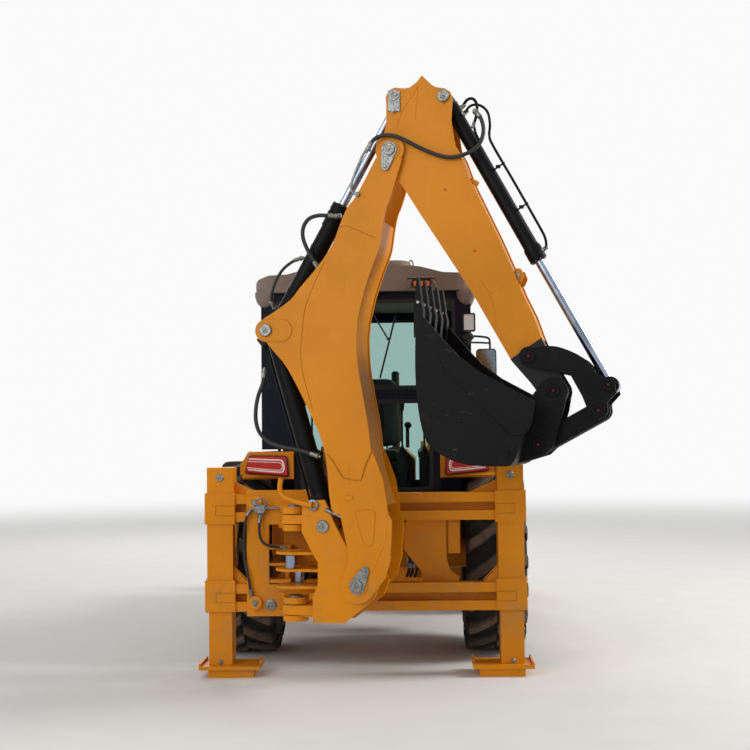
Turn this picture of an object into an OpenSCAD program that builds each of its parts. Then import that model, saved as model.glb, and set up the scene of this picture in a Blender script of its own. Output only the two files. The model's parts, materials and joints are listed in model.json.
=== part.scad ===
// Backhoe loader with a side-shift frame at the rear and a loader bucket at the front.
// Millimetres. X to the machine's right, Y forward, Z up, ground at Z = 0.
// The machine is drawn with the rear axle's centre above X = 0, Y = 0 and then
// moved by place() so that the origin lies below the middle of its bounding box.

/* [Wheels] */
// Distance between the axles
wheelbase = 2180; // [2000:10:2400]
// Outer radius of a rear tyre, to the tips of its lugs
rear_tyre_r = 715; // [650:5:760]
// Width of a rear tyre
rear_tyre_w = 440; // [380:10:480]
// Distance from the machine's middle to a rear tyre's middle
rear_track_half = 914; // [900:2:960]
// Radius of a rear rim
rear_rim_r = 365; // [320:5:400]
// Outer radius of a front tyre, to the tips of its lugs
front_tyre_r = 490; // [430:5:510]
// Width of a front tyre
front_tyre_w = 320; // [260:10:330]
// Distance from the machine's middle to a front tyre's middle
front_track_half = 880; // [870:5:950]
// Radius of a front rim
front_rim_r = 235; // [200:5:260]
// Distance from the machine's middle to a steering kingpin
kingpin_x = 660; // [620:5:670]
// Height of a tyre lug
lug_h = 32; // [20:1:40]

/* [Chassis] */
// Distance from the machine's middle to a rail's outer face
rail_x = 330; // [300:5:350]
// Thickness of a chassis rail
rail_t = 70; // [50:5:90]
// Underside of the chassis rails
rail_z = 830; // [826:2:850]
// Height of a chassis rail
rail_h = 160; // [130:5:170]
// Length of the chassis in front of the rear axle
chassis_front = 2560; // [2500:10:2620]
// Radius of the towing pin's hole
tow_r = 20; // [12:1:25]
// Height of the towing block
tow_h = 100; // [80:5:120]
// Width of the tank and the step box beside the gearbox
tank_w = 260; // [220:5:300]

/* [Slide frame] */
// Distance from the machine's middle to a post's outer face
post_x = 1070; // [1000:5:1100]
// Width of a stabiliser post
post_w = 175; // [150:5:190]
// Depth of a stabiliser post
post_d = 190; // [160:5:210]
// Wall of a stabiliser post
post_wall = 9; // [6:1:14]
// Underside of the posts
post_z = 434; // [400:2:460]
// Height of the posts
post_h = 970; // [940:5:980]
// Rear face of the frame, behind the rear axle
frame_y = 1095; // [1080:5:1120]
// Height of one bar of a guide rail
bar_h = 64; // [50:2:70]
// Gap between the two bars of a guide rail
bar_gap = 56; // [45:1:66]
// Depth of a guide rail
bar_d = 110; // [90:5:120]
// Top of the upper guide rail
upper_rail_top = 1221; // [1190:1:1240]

/* [Stabilisers] */
// Height of a stabiliser pad
pad_h = 78; // [60:2:90]
// Length of a pad across the machine
pad_len = 405; // [360:5:420]
// Depth of a pad
pad_d = 300; // [240:10:320]
// Running clearance of a leg in its post
leg_gap = 0.3; // [0.2:0.1:1.5]

/* [Carriage and kingpost] */
// Distance of the swing axis from the machine's middle, to the left
swing_x = 440; // [400:5:460]
// Distance of the swing axis behind the rear axle
swing_y = 1420; // [1400:5:1450]
// Turn of the backhoe's plane from straight across the machine
boom_turn = 13; // [5:1:20]
// Half length of the carriage along the rails
carriage_half = 355; // [340:5:370]
// Thickness of the carriage's main plate
carriage_t = 45; // [35:5:55]
// Radius of the swing pins
swing_pin_r = 35; // [28:1:40]
// Outer half width of the kingpost
king_half = 135; // [120:1:136]
// Thickness of a kingpost plate
king_t = 25; // [16:1:30]

/* [Boom] */
// Reach of the boom's foot pin from the swing axis
foot_out = 465; // [440:5:480]
// Height of the boom's foot pin
foot_z = 667; // [650:1:690]
// Length of the boom from foot pin to top pin
boom_len = 2755; // [2600:5:2850]
// Angle of the boom above the horizontal at rest
boom_rest = 85; // [80:1:90]
// Outer half width of the boom
boom_half = 160; // [155:1:175]
// Thickness of a boom plate
boom_t = 18; // [12:1:19]
// Distance of the hump pin along the boom
hump_along = 1568; // [1500:5:1600]
// Distance of the hump pin off the boom's line
hump_off = 735; // [700:5:760]
// Radius of the large pins
pin_r = 38; // [30:1:42]

/* [Dipper] */
// Length of the dipper from top pin to bucket pin
dipper_len = 1843; // [1800:5:1900]
// Angle of the dipper below the horizontal at rest
dipper_rest = 57; // [50:1:60]
// Outer half width of the dipper
dipper_half = 125; // [110:1:130]
// Thickness of a dipper plate
dipper_t = 18; // [10:1:22]
// Distance of the tipping lever's pin from the bucket pin
lever_back = 253; // [240:1:270]

/* [Backhoe bucket] */
// Outer half width of the bucket
bucket_half = 390; // [300:5:400]
// Wall of the bucket
bucket_t = 16; // [10:1:22]
// Number of teeth
teeth = 5; // [3:1:6]
// Length of a tooth
tooth_len = 235; // [150:5:240]

/* [Cylinders] */
// Barrel radius of the boom cylinder
boom_barrel_r = 62; // [50:1:66]
// Barrel radius of the dipper cylinder
dipper_barrel_r = 58; // [45:1:62]
// Barrel radius of the bucket cylinder
bucket_barrel_r = 48; // [38:1:52]
// Radius of the large piston rods
rod_r = 29; // [22:1:32]
// Barrel radius of the loader's lift cylinders
lift_barrel_r = 50; // [40:1:54]
// Barrel radius of the loader's tilt cylinders
tilt_barrel_r = 38; // [30:1:40]
// Radius of the loader's piston rods
loader_rod_r = 24; // [18:1:26]

/* [Loader] */
// Distance from the machine's middle to an arm's middle
arm_x = 525; // [520:1:535]
// Width of an arm
arm_w = 110; // [90:2:114]
// Arm pivot in front of the rear axle
arm_pivot_y = 1120; // [1110:5:1140]
// Height of the arm pivot
arm_pivot_z = 1440; // [1420:5:1460]
// Loader bucket's hinge in front of the rear axle
hinge_y = 3330; // [3300:5:3380]
// Height of the loader bucket's hinge
hinge_z = 300; // [290:5:320]
// Width of the loader bucket
scoop_w = 2300; // [2200:10:2400]
// Wall of the loader bucket
scoop_t = 16; // [10:1:20]
// Radius of the tilt lever and of the bucket's tilt lug
tilt_r = 300; // [280:5:310]

/* [Hood] */
// Half width of the hood
hood_half = 335; // [300:5:340]
// Length of the hood
hood_len = 1560; // [1500:10:1600]
// Height of the hood's top at the cab
hood_top = 1500; // [1450:5:1560]
// Wall of the hood
hood_t = 12; // [8:1:20]
// Drop of the hood's top towards its nose
hood_drop = 90; // [60:5:110]
// Outer radius of the exhaust pipe
exhaust_r = 34; // [28:1:42]

/* [Cab] */
// Half width of the cab at its waist
cab_half = 750; // [720:5:760]
// Rear face of the cab, behind the rear axle
cab_back = 650; // [600:5:680]
// Front face of the cab, in front of the rear axle
cab_front = 930; // [900:5:960]
// Underside of the cab's floor
cab_z = 1010; // [980:5:1040]
// Underside of the roof
roof_z = 2640; // [2560:5:2680]
// Height of the roof at its shoulders
roof_h = 130; // [110:5:150]
// Rise of the roof's middle over its shoulders
roof_rise = 50; // [20:5:70]
// Overhang of the roof over the cab
roof_over = 45; // [20:5:70]
// Thickness of the cab's posts
post_t = 60; // [45:5:80]
// Thickness of the panes
pane_t = 8; // [5:1:10]
// Clearance round a pane or door
pane_gap = 0.3; // [0.2:0.1:1]

/* [Hidden] */
$fn = 48;

// Small fits
fit = 0.3;

// Display colours
yellow = [0.85, 0.55, 0.1];
axle_paint = [0.75, 0.5, 0.12];
black = [0.1, 0.1, 0.1];
steel = [0.8, 0.8, 0.85];
cab_paint = [0.12, 0.14, 0.17];
glass = [0.6, 0.75, 0.73, 0.5];

// Point at a distance and an angle from another
function polar(c, r, a) = [c[0] + r * cos(a), c[1] + r * sin(a)];
// Point given along and across a line that starts at c and points at angle a
function along(c, a, u, v) = [c[0] + u * cos(a) - v * sin(a), c[1] + u * sin(a) + v * cos(a)];
function angle_to(p, q) = atan2(q[1] - p[1], q[0] - p[0]);
function span(p, q) = norm([q[0] - p[0], q[1] - p[1]]);
function turned(p, c, a) = along(c, a, p[0] - c[0], p[1] - c[1]);
function reversed(p) = [for (i = [len(p) - 1 : -1 : 0]) p[i]];
function unit(v) = v / norm(v);

// Smooth curve through a list of points, in n steps between each two
function curve(p, n) = concat([
  for (i = [0 : len(p) - 2]) for (k = [0 : n - 1])
    let (a = p[max(i - 1, 0)], b = p[i], c = p[i + 1], d = p[min(i + 2, len(p) - 1)], t = k / n)
      (2 * b + (c - a) * t + (2 * a - 5 * b + 4 * c - d) * t * t + (3 * b - 3 * c + d - a) * t * t * t) / 2
], [p[len(p) - 1]]);

// Corners of a w by h rectangle about the middle, turned at radius r
function rounded(w, h, r) = [
  for (q = [0 : 3]) for (a = [0 : 18 : 90])
    let (side = (q == 0 || q == 3) ? 1 : -1, end = q < 2 ? 1 : -1)
      [side * (w / 2 - r) + r * cos(a + 90 * q), end * (h / 2 - r) + r * sin(a + 90 * q)]
];

// Pins of the backhoe, as reach from the swing axis and height
boom_foot = [foot_out, foot_z];
boom_top = polar(boom_foot, boom_len, boom_rest);
hump_pin = along(boom_foot, boom_rest, hump_along, hump_off);
king_pin = [232, 1035];
bucket_pin = polar(boom_top, dipper_len, -dipper_rest);
head_pin = along(boom_top, -dipper_rest, -284, 215);
base_pin = along(boom_top, -dipper_rest, -85, 466);
lever_pin = along(boom_top, -dipper_rest, dipper_len - lever_back, -5);
link_pin = [bucket_pin[0] - 97, bucket_pin[1] - 325];
lever_tip = [lever_pin[0] + 413, lever_pin[1] - 335];
rod_lug = [lever_pin[0] + 475, lever_pin[1] - 181];

// Side layers of the backhoe, from the middle outwards
eye_half = 42;
ear_in = dipper_half + 5;
ear_t = 28;
lever_in = ear_in + ear_t + 5;
lever_t = 26;
link_in = 56;
link_t = 40;

// Ranges that the pieces are shaped for, in degrees
boom_range = 125;
dipper_range = 118;
lever_range = 108.5;

// Lengths of the backhoe's cylinders at rest and closed
boom_cyl_rest = span(hump_pin, king_pin);
dipper_cyl_rest = span(hump_pin, head_pin);
dipper_cyl_shut = span(hump_pin, turned(head_pin, boom_top, dipper_range));
bucket_cyl_rest = span(base_pin, rod_lug);
bucket_cyl_shut = span(base_pin, turned(rod_lug, lever_pin, lever_range));
rod_inset = 90;

// Loader pins, as distance in front of the rear axle and height; tilt cylinders and levers from the middle
arm_pivot = [arm_pivot_y, arm_pivot_z];
hinge = [hinge_y, hinge_z];
tilt_pivot = [2640, 1230];
tilt_angle = 80;
tube_at = [2840, 860];
tilt_top = polar(tilt_pivot, tilt_r, tilt_angle);
tilt_lug = polar(hinge, tilt_r, tilt_angle);
tilt_rod_pin = polar(tilt_pivot, 260, 111);
tilt_base = [1600, 1440];
lift_base = [1150, 760];
lift_eye = [2300, 1100];
tilt_x = 402;
lever_x = 444;

// Guide rails
lower_rail_top = post_z + 2 * bar_h + bar_gap;
rail_face = -frame_y;
swing_at = [-swing_x, -swing_y];

// Ends of the machine's bounding box and the shift that centres it
lever_reach = 520;
bucket_near = 125;
scoop_front = 4180;
right_end = swing_at[0] + (lever_pin[0] + lever_reach) * cos(boom_turn) + (lever_in + lever_t) * sin(boom_turn);
rear_end = swing_at[1] - (bucket_pin[0] - bucket_near) * sin(boom_turn) - bucket_half * cos(boom_turn);
place_x = (scoop_w / 2 - right_end) / 2;
place_y = -(scoop_front + rear_end) / 2;

module place() { translate([place_x, place_y, 0]) children(); }

// The backhoe's plane: x is reach, y is height, z is towards its near side
module boom_plane() {
  translate([swing_at[0], swing_at[1], 0]) rotate([0, 0, -boom_turn]) rotate([90, 0, 0]) children();
}

// The loader's side plane: x is forward, y is height, z is to the machine's left or right
module side_plane(x) { translate([x, 0, 0]) rotate([90, 0, 90]) children(); }

// Both of a pair, the second mirrored to the other side
module both() {
  children();
  mirror([1, 0, 0]) children();
}

// A pair of equal plates, mirrored about the plane
module plate_pair(inner, t) {
  for (s = [0, 1]) mirror([0, 0, s]) translate([0, 0, inner]) linear_extrude(t) children();
}

// A cylinder across the plane, centred on it
module across(p, r, half) { translate([p[0], p[1], 0]) cylinder(r = r, h = 2 * half, center = true); }

// A round bar along the line from p towards q, between two distances
module bar(p, q, r, from, to) {
  translate([p[0], p[1], 0]) rotate([0, 0, angle_to(p, q)]) rotate([0, 90, 0])
    translate([0, 0, from]) cylinder(r = r, h = to - from);
}

// A cylinder barrel with its eye at p, pointing at q, open for a rod
module barrel(p, q, length, r, rod, half) {
  difference() {
    union() {
      bar(p, q, r, 40, length);
      bar(p, q, r + 6, length - 70, length);
      across(p, r * 0.95, half);
    }
    bar(p, q, rod + fit, 80, length + 1);
    across(p, pin_r + fit, half + 1);
  }
}

// Corners of a hose's ring at point i of its path, square to the path there
function hose_ring(path, i, r, sides) =
  let (
    t = unit(path[min(i + 1, len(path) - 1)] - path[max(i - 1, 0)]),
    a = unit(cross(t, [0, 0, 1])),
    b = cross(t, a)
  )
  [for (k = [0 : sides - 1]) path[i] + r * (cos(360 * k / sides) * a + sin(360 * k / sides) * b)];

// Hose through the points of a path of [reach, height, side], with rings of ten corners
module hose(route, r) {
  path = curve(route, 3);
  sides = 10;
  last = len(path) - 1;
  polyhedron(
    points = [for (i = [0 : last]) each hose_ring(path, i, r, sides)],
    faces = concat(
      [for (i = [0 : last - 1]) for (k = [0 : sides - 1])
        let (a = i * sides + k, b = a + sides, d = i * sides + (k + 1) % sides, c = d + sides)
          each [[a, b, c], [a, c, d]]],
      [[for (k = [0 : sides - 1]) k]],
      [[for (k = [sides - 1 : -1 : 0]) last * sides + k]]
    )
  );
}

// A piston rod with its eye at q; its other end lies inset from p when closed
module rod(p, q, length, r, eye_r, half, pin) {
  far = span(p, q);
  difference() {
    union() {
      bar(p, q, r, far - length, far - 20);
      across(q, eye_r, half);
    }
    across(q, pin, half + 1);
  }
  across(q, pin - fit, half);
}

// Chassis

rail_in = rail_x - rail_t;
upright_x = 380;
upright_out = 550;
upright_t = 30;
cradle_h = 190;
// Rear faces of the rails' cross members
cross_members = [-880, -420, 420, wheelbase - 1000, chassis_front - 100];
// Heights of the two treads below a door
steps = [440, 700];

module chassis() {
  back = -frame_y + bar_d + fit;
  color(yellow) place() {
    both() {
      translate([rail_in, back + upright_t, rail_z]) cube([rail_t, chassis_front - back - upright_t, rail_h]);
      translate([0, back + upright_t, 0]) rotate([90, 0, 0]) linear_extrude(upright_t) polygon(upright());
      loader_tower();
      side_tank();
      // Feet of the cab
      for (y = [-560, 760])
        translate([rail_in, y, rail_z + rail_h]) cube([rail_t, 90, cab_z - rail_z - rail_h]);
    }
    for (y = cross_members)
      translate([-rail_in, y, rail_z + 20]) cube([2 * rail_in, 80, rail_h - 40]);
    // Towing block at the front
    difference() {
      translate([-70, chassis_front, rail_z]) cube([140, 110, tow_h]);
      translate([0, chassis_front + 60, rail_z - 1]) cylinder(r = tow_r, h = tow_h + 2);
    }
    translate([-rail_x, chassis_front - 20, rail_z]) cube([2 * rail_x, 20, rail_h]);
    // Cradle over the front axle
    translate([-rail_x, wheelbase - 90, rail_z - cradle_h]) cube([2 * rail_x, 180, cradle_h]);
  }
}

// Rear view of the flared plate between a chassis rail and the slide frame
function upright() = [
  [rail_in, rail_z], [upright_x, rail_z - 150], [upright_x, post_z + 10], [upright_out + 85, post_z + 10],
  [upright_out + 85, 640], [upright_out + 25, 690], [upright_out, 760], [upright_out, upper_rail_top - 10],
  [upright_x, upper_rail_top - 10], [rail_in, rail_z + rail_h]
];

// Tank beside the gearbox and the steps up to the cab
module side_tank() {
  translate([rail_x - 5, 765, 450]) cube([tank_w + 5, 250, 500]);
  for (z = steps) translate([rail_x + tank_w - 5, 775, z]) cube([180, 230, 25]);
  for (y = [775, 990]) translate([rail_x + tank_w - 5, y, steps[0]])
    cube([175, 15, steps[1] - steps[0]]);
}

// The plates that carry an arm's pivot, with their pins
module loader_tower() {
  inner = arm_x - arm_w / 2 - 28;
  tower = [
    [1060, 690], [1240, 690], [1290, 850], [1210, 1500], [1170, 1530], [1080, 1530], [1040, 1490], [1040, 850]
  ];
  side_plane(arm_x) {
    difference() {
      for (x = [inner - arm_x, arm_w / 2 + 6]) translate([0, 0, x]) linear_extrude(22) polygon(tower);
      across(arm_pivot, pin_r, 120);
      across(lift_base, pin_r, 120);
    }
    across(arm_pivot, pin_r, arm_w / 2 + 28);
    across(lift_base, pin_r, arm_w / 2 + 28);
  }
  translate([rail_x, 1060, rail_z]) cube([inner - rail_x, 160, rail_h - 20]);
  translate([inner, 1080, 660]) cube([arm_w + 56, 140, 30]);
}

// Engine block: width, length and height, and the face next to the cab
engine = [460, 700, 640];
engine_y = cab_front + 330;

module drivetrain() {
  color([0.35, 0.36, 0.37]) place() {
    // Engine
    translate([-engine[0] / 2, engine_y, 760]) cube(engine);
    // Radiator
    translate([-250, chassis_front - 200 - fit, rail_z + 30]) cube([500, 100, 540]);
    // Gearbox
    translate([-170, engine_y - 760, 620]) cube([340, 600, 370]);
  }
}

module rear_axle() {
  color(axle_paint) place() translate([0, 0, rear_tyre_r]) {
    rotate([0, 90, 0])
      cylinder(r = 105, h = 2 * (rear_track_half + hub_face(rear_tyre_w) - fit), center = true);
    rotate([0, 90, 0]) cylinder(r = 190, h = 330, center = true);
    both() translate([rail_in, -90, 60]) cube([rail_t, 180, rail_z - rear_tyre_r - 60 - fit]);
  }
}

module front_axle() {
  beam_end = kingpin_x - 70;
  color(axle_paint) place() translate([0, wheelbase, front_tyre_r]) {
    translate([-beam_end, -60, -60]) cube([2 * beam_end, 120, 120]);
    both() difference() {
      translate([kingpin_x, 0, 0]) for (z = [-105, 75]) translate([-88, -60, z]) cube([148, 120, 30]);
      translate([kingpin_x, 0, -200]) cylinder(r = 25, h = 400);
    }
    both() translate([kingpin_x - 88, -60, -105]) cube([20, 120, 210]);
    translate([-110, -60, 50]) cube([220, 120, rail_z - cradle_h - front_tyre_r - 50 - fit]);
  }
}

module knuckle() {
  hub_x = front_track_half - kingpin_x;
  translate([kingpin_x, wheelbase, front_tyre_r]) {
    cylinder(r = 25 - fit, h = 220, center = true);
    translate([-40, -40, -74]) cube([80, 80, 148]);
    rotate([0, 90, 0]) cylinder(r = 45, h = hub_x + hub_face(front_tyre_w) - fit);
  }
}

module knuckle_right() { color(axle_paint) place() knuckle(); }
module knuckle_left() { color(axle_paint) place() mirror([1, 0, 0]) knuckle(); }

// Wheels

// Half width between the flanges of a rim, and the inner face of its disc
function seat_half(w) = w / 2 - 70;
function hub_face(w) = seat_half(w) - 60;

// Places round a tyre of the four corners of a lug, as shares of the pitch: foot, tip, tip, foot
lug_corners = [0, 0.07, 0.33, 0.4];
lug_slant = 0.6;
rear_lugs = 19;
front_lugs = 17;

module at_rear(side) { place() translate([side * rear_track_half, 0, rear_tyre_r]) children(); }
module at_front(side) { place() translate([side * front_track_half, wheelbase, front_tyre_r]) children(); }

// One ring round a tyre at place x: even round its walls, or stepped over the lugs of the tread.
// shift moves the lugs on by that many corners and slant by a share of the pitch. The first tip
// of a ring without slant points straight down.
function tyre_ring(x, foot, tip, lugs, shift, slant) = [
  for (i = [0 : 4 * lugs - 1])
    let (
      j = i - shift,
      corner = (j + 4) % 4,
      walls = foot == tip,
      share = walls ? i / 4 : floor(j / 4) + lug_corners[corner] + shift / 4,
      a = 360 / lugs * (share + slant - lug_corners[1]) - 90,
      r = corner == 1 || corner == 2 ? tip : foot
    )
    [x, r * cos(a), r * sin(a)]
];

// Tyre with two staggered rows of slanted lugs: ten rings from bead to bead, joined into a closed skin
module tyre(r, w, rim, lugs) {
  body = r - lug_h;
  seat = seat_half(w) - fit;
  bead = (rim + fit) / cos(45 / lugs);
  belly = (rim + body) / 2 + 40;
  // Rings of one side: [place from the middle, radius between lugs, radius on a lug, slant]
  half = [
    [seat, bead, bead, lug_slant], [seat, rim + 26, rim + 26, lug_slant], [w / 2, belly, belly, lug_slant],
    [w / 2 - 26, body - 12, r, lug_slant], [6, body, r, 0]
  ];
  rings = concat(
    [for (k = half) tyre_ring(-k[0], k[1], k[2], lugs, 0, k[3])],
    [for (k = reversed(half)) tyre_ring(k[0], k[1], k[2], lugs, 2, k[3])]
  );
  n = 4 * lugs;
  m = len(rings);
  polyhedron(
    points = [for (ring = rings) each ring],
    faces = [
      for (k = [0 : m - 1]) for (i = [0 : n - 1])
        let (
          a = k * n + i, b = (k + 1) % m * n + i,
          c = (k + 1) % m * n + (i + 1) % n, d = k * n + (i + 1) % n
        )
        each [[a, b, c], [a, c, d]]
    ],
    convexity = 8
  );
}

module tyre_rear_left() {
  color(black) at_rear(-1) tyre(rear_tyre_r, rear_tyre_w, rear_rim_r, rear_lugs);
}

module tyre_rear_right() {
  color(black) at_rear(1) tyre(rear_tyre_r, rear_tyre_w, rear_rim_r, rear_lugs);
}

module tyre_front_left() {
  color(black) at_front(-1) tyre(front_tyre_r, front_tyre_w, front_rim_r, front_lugs);
}

module tyre_front_right() {
  color(black) at_front(1) tyre(front_tyre_r, front_tyre_w, front_rim_r, front_lugs);
}

// Rim drawn for the right side, its disc near the outer face
module rim(r, w, hub_r) {
  seat = seat_half(w);
  difference() {
    rotate([0, 90, 0]) rotate_extrude($fn = 96) polygon([
      [r - 16, -seat - 14], [r + 22, -seat - 14], [r + 22, -seat], [r, -seat], [r, seat], [r + 22, seat],
      [r + 22, seat + 14], [r - 16, seat + 14], [r - 16, seat - 30], [hub_r + 60, seat - 60],
      [hub_r + 10, seat - 20], [0, seat - 20], [0, seat - 60], [hub_r, seat - 60], [hub_r + 60, seat - 85],
      [r - 16, seat - 52]
    ]);
    for (a = [0 : 45 : 315])
      rotate([a, 0, 0]) translate([0, 0, hub_r - 35]) rotate([0, 90, 0]) cylinder(r = 10, h = w);
  }
}

rear_hub_r = 150;
front_hub_r = 110;

module rim_rear() { rim(rear_rim_r, rear_tyre_w, rear_hub_r); }
module rim_front() { rim(front_rim_r, front_tyre_w, front_hub_r); }
module rim_rear_right() { color(yellow) at_rear(1) rim_rear(); }
module rim_rear_left() { color(yellow) at_rear(-1) mirror([1, 0, 0]) rim_rear(); }
module rim_front_right() { color(yellow) at_front(1) rim_front(); }
module rim_front_left() { color(yellow) at_front(-1) mirror([1, 0, 0]) rim_front(); }

// Hood and cab

hood_z = rail_z + rail_h + fit;
hood_h = hood_top - hood_z;
hood_y = cab_front + 30;
nose_len = 320;
nose_h = hood_h - hood_drop;
grille_in = 60;
grille_z = 40;
grille_h = 270;
louvres = 7;

// Front view of the hood, inset by t and carried below its lower edge by more
module hood_outline(t, more) {
  side = hood_half - t;
  top = hood_h - t;
  polygon([
    [-side, -more], [-side, top - 90], [-side + 80, top], [side - 80, top], [side, top - 90], [side, -more]
  ]);
}

// Side view of the hood, inset by t above and in front
module hood_side(t, more) {
  front = hood_len - t;
  polygon([
    [-more, -more], [front, -more], [front, nose_h - t], [hood_len - nose_len, hood_h - t],
    [-more, hood_h - t]
  ]);
}

// The block that has both views of the hood
module hood_block(t, more) {
  intersection() {
    translate([0, hood_len, 0]) rotate([90, 0, 0]) linear_extrude(hood_len + more) hood_outline(t, more);
    side_plane(-hood_half) linear_extrude(2 * hood_half) hood_side(t, more);
  }
}

module hood() {
  color(yellow) place() translate([0, hood_y, hood_z]) difference() {
    hood_block(0, 0);
    hood_block(hood_t, 1);
    translate([-hood_half + grille_in, hood_len - 50, grille_z])
      cube([2 * (hood_half - grille_in), 100, grille_h]);
    // Louvres in both sides
    for (i = [0 : louvres - 1])
      translate([-hood_half - 1, 330 + 75 * i, 150]) cube([2 * hood_half + 2, 32, 170]);
  }
}

module grille() {
  wide = 2 * (hood_half - grille_in - fit);
  tall = grille_h - 2 * fit;
  color(black) place() translate([0, hood_y + hood_len - hood_t, hood_z + grille_z + fit]) {
    for (z = [0 : 42 : tall - 17]) translate([-wide / 2, 0, z]) cube([wide, hood_t, 17]);
    both() translate([-wide / 2, 0, 0]) cube([16, hood_t, tall]);
  }
}

module stacks() {
  pipe_h = 700;
  color(black) place() translate([0, hood_y, hood_top + fit]) {
    // Exhaust with its silencer, its mouth cut at a slant
    translate([170, 420, 0]) difference() {
      rotate_extrude() polygon([
        [0, 0], [70, 0], [70, 12], [exhaust_r, 20], [exhaust_r, 60], [62, 75], [62, 370], [exhaust_r, 400],
        [exhaust_r, pipe_h], [exhaust_r - 4, pipe_h], [exhaust_r - 4, 500], [0, 500]
      ]);
      translate([-60, 0, pipe_h - 40]) rotate([-30, 0, 0]) translate([0, -100, 0]) cube([120, 200, 120]);
    }
    // Air intake with its cap
    translate([-150, 330, 0]) rotate_extrude() polygon([
      [0, 0], [55, 0], [55, 10], [42, 18], [42, 190], [78, 205], [84, 225], [84, 275], [60, 300], [0, 306]
    ]);
  }
}

// Step of the cab's side over the wheel
arch_z = 1520;
arch_y = 700;
tub_half = 520;
floor_top = cab_z + post_t / 2;
seat_base_h = 360;
door_back = -30;

// Side view of a fender's arc at radius r, from its front end to its rear end
function fender_arc(r) = [for (a = [46 : 3 : 130]) polar([0, rear_tyre_r], r, a)];

module fenders() {
  color(yellow) place() both() {
    // Arc over the tyre
    side_plane(tub_half + fit) linear_extrude(400)
      polygon(concat(fender_arc(rear_tyre_r + 75), reversed(fender_arc(rear_tyre_r + 55))));
    // Rear panel round the lamps, its outer corner cut off, and the plate between it and the arc
    translate([0, -680, 0]) rotate([90, 0, 0]) linear_extrude(20)
      polygon([[tub_half + fit, 1310], [900, 1345], [900, 1420], [830, 1505], [tub_half + fit, 1505]]);
    translate([tub_half + fit, -700, 1485]) cube([310, 640, 20]);
  }
}

module lamps() {
  color([0.6, 0.05, 0.05]) place() both() {
    // Tail lamp
    translate([0, -700 - fit, 0]) rotate([90, 0, 0]) linear_extrude(30)
      polygon([[tub_half + 30, 1335], [865, 1365], [835, 1470], [tub_half + 45, 1462]]);
    // Work lamp at the cab's front
    translate([cab_half - 140, cab_front + fit, roof_z - 130]) cube([120, 60, 95]);
    // Headlamp beside the grille's top
    translate([130, hood_y + hood_len + fit, hood_z + grille_z + grille_h + 15]) cube([140, 24, 65]);
  }
  // Work lamp at the cab's right rear corner
  color([0.6, 0.05, 0.05]) place()
    translate([cab_half - 60, -cab_back - 60, 2337]) cube([95, 60 - fit, 140]);
}

// Front view of the cab, inset by t
module cab_section(t) {
  polygon([
    [-tub_half + t, cab_z + t], [tub_half - t, cab_z + t], [tub_half - t, arch_z + t],
    [cab_half - t, arch_z + t], [cab_half - t, roof_z], [-cab_half + t, roof_z],
    [-cab_half + t, arch_z + t], [-tub_half + t, arch_z + t]
  ]);
}

// Sills and heads of the cab's windows
low_sill = 1230;
rear_low_head = 1853;
rear_sill = 1952;
window_head = roof_z - 60;
rear_head = roof_z - 69;
side_sill = 1600;
// Door hinges: heights, length, radius and running clearance
hinge_heights = [1700, 2350];
hinge_len = 90;
hinge_r = 14;
hinge_gap = 1.5;

module cab_frame() {
  deep = cab_back + cab_front;
  inner = cab_half - 2 * post_t;
  skin = 1.5 * post_t;
  color(cab_paint) place() difference() {
    union() {
      translate([0, cab_front, 0]) rotate([90, 0, 0]) linear_extrude(deep) cab_section(0);
      translate([-cab_half, arch_y, cab_z]) cube([2 * cab_half, cab_front - arch_y, 600]);
    }
    translate([0, cab_front - post_t, 0]) rotate([90, 0, 0])
      linear_extrude(deep - 2 * post_t) cab_section(post_t / 2);
    both() translate([0, arch_y + 30, cab_z + 30])
      cube([cab_half - post_t, cab_front - arch_y - 30 - post_t, 1200]);
    // Windows in the front and, above and below a bar, in the rear
    translate([-inner, cab_front - skin, low_sill]) cube([2 * inner, 300, window_head - low_sill]);
    translate([-inner, -cab_back - 10, rear_sill]) cube([2 * inner, 300, rear_head - rear_sill]);
    translate([-tub_half + post_t, -cab_back - 10, low_sill])
      cube([2 * (tub_half - post_t), 300, rear_low_head - low_sill]);
    // Door openings and side windows
    both() translate([cab_half - skin, door_back - fit, arch_z + 10])
      cube([300, cab_front - post_t - door_back + fit, roof_z - arch_z - 70]);
    both() translate([cab_half - skin, arch_y + 20, 1100]) cube([300, cab_front - post_t - arch_y - 20, 500]);
    both() translate([cab_half - skin, -cab_back + post_t, side_sill])
      cube([300, cab_back - 2.5 * post_t, window_head - side_sill]);
    both() for (z = hinge_heights) translate([cab_half, door_back, z - hinge_gap])
      cylinder(r = hinge_r + hinge_gap, h = hinge_len + 2 * hinge_gap);
  }
}

// Front view of the roof, from its edge over the shoulder to the raised middle
module roof_section() {
  edge = cab_half + roof_over;
  side = [
    [edge, 0], [edge, 70], [edge - 22, 98], [edge - 110, roof_h - 6], [edge - 240, roof_h],
    [edge / 2, roof_h + roof_rise - 8], [edge / 2 - 60, roof_h + roof_rise]
  ];
  polygon(concat(side, [for (p = reversed(side)) [-p[0], p[1]]]));
}

module cab_roof() {
  long = cab_back + cab_front + 2 * roof_over;
  color([0.41, 0.36, 0.33]) place() translate([0, (cab_front - cab_back) / 2, roof_z + fit]) intersection() {
    linear_extrude(roof_h + roof_rise) polygon(rounded(2 * (cab_half + roof_over), long, 130));
    translate([0, long / 2, 0]) rotate([90, 0, 0]) linear_extrude(long) roof_section();
  }
}

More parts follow.
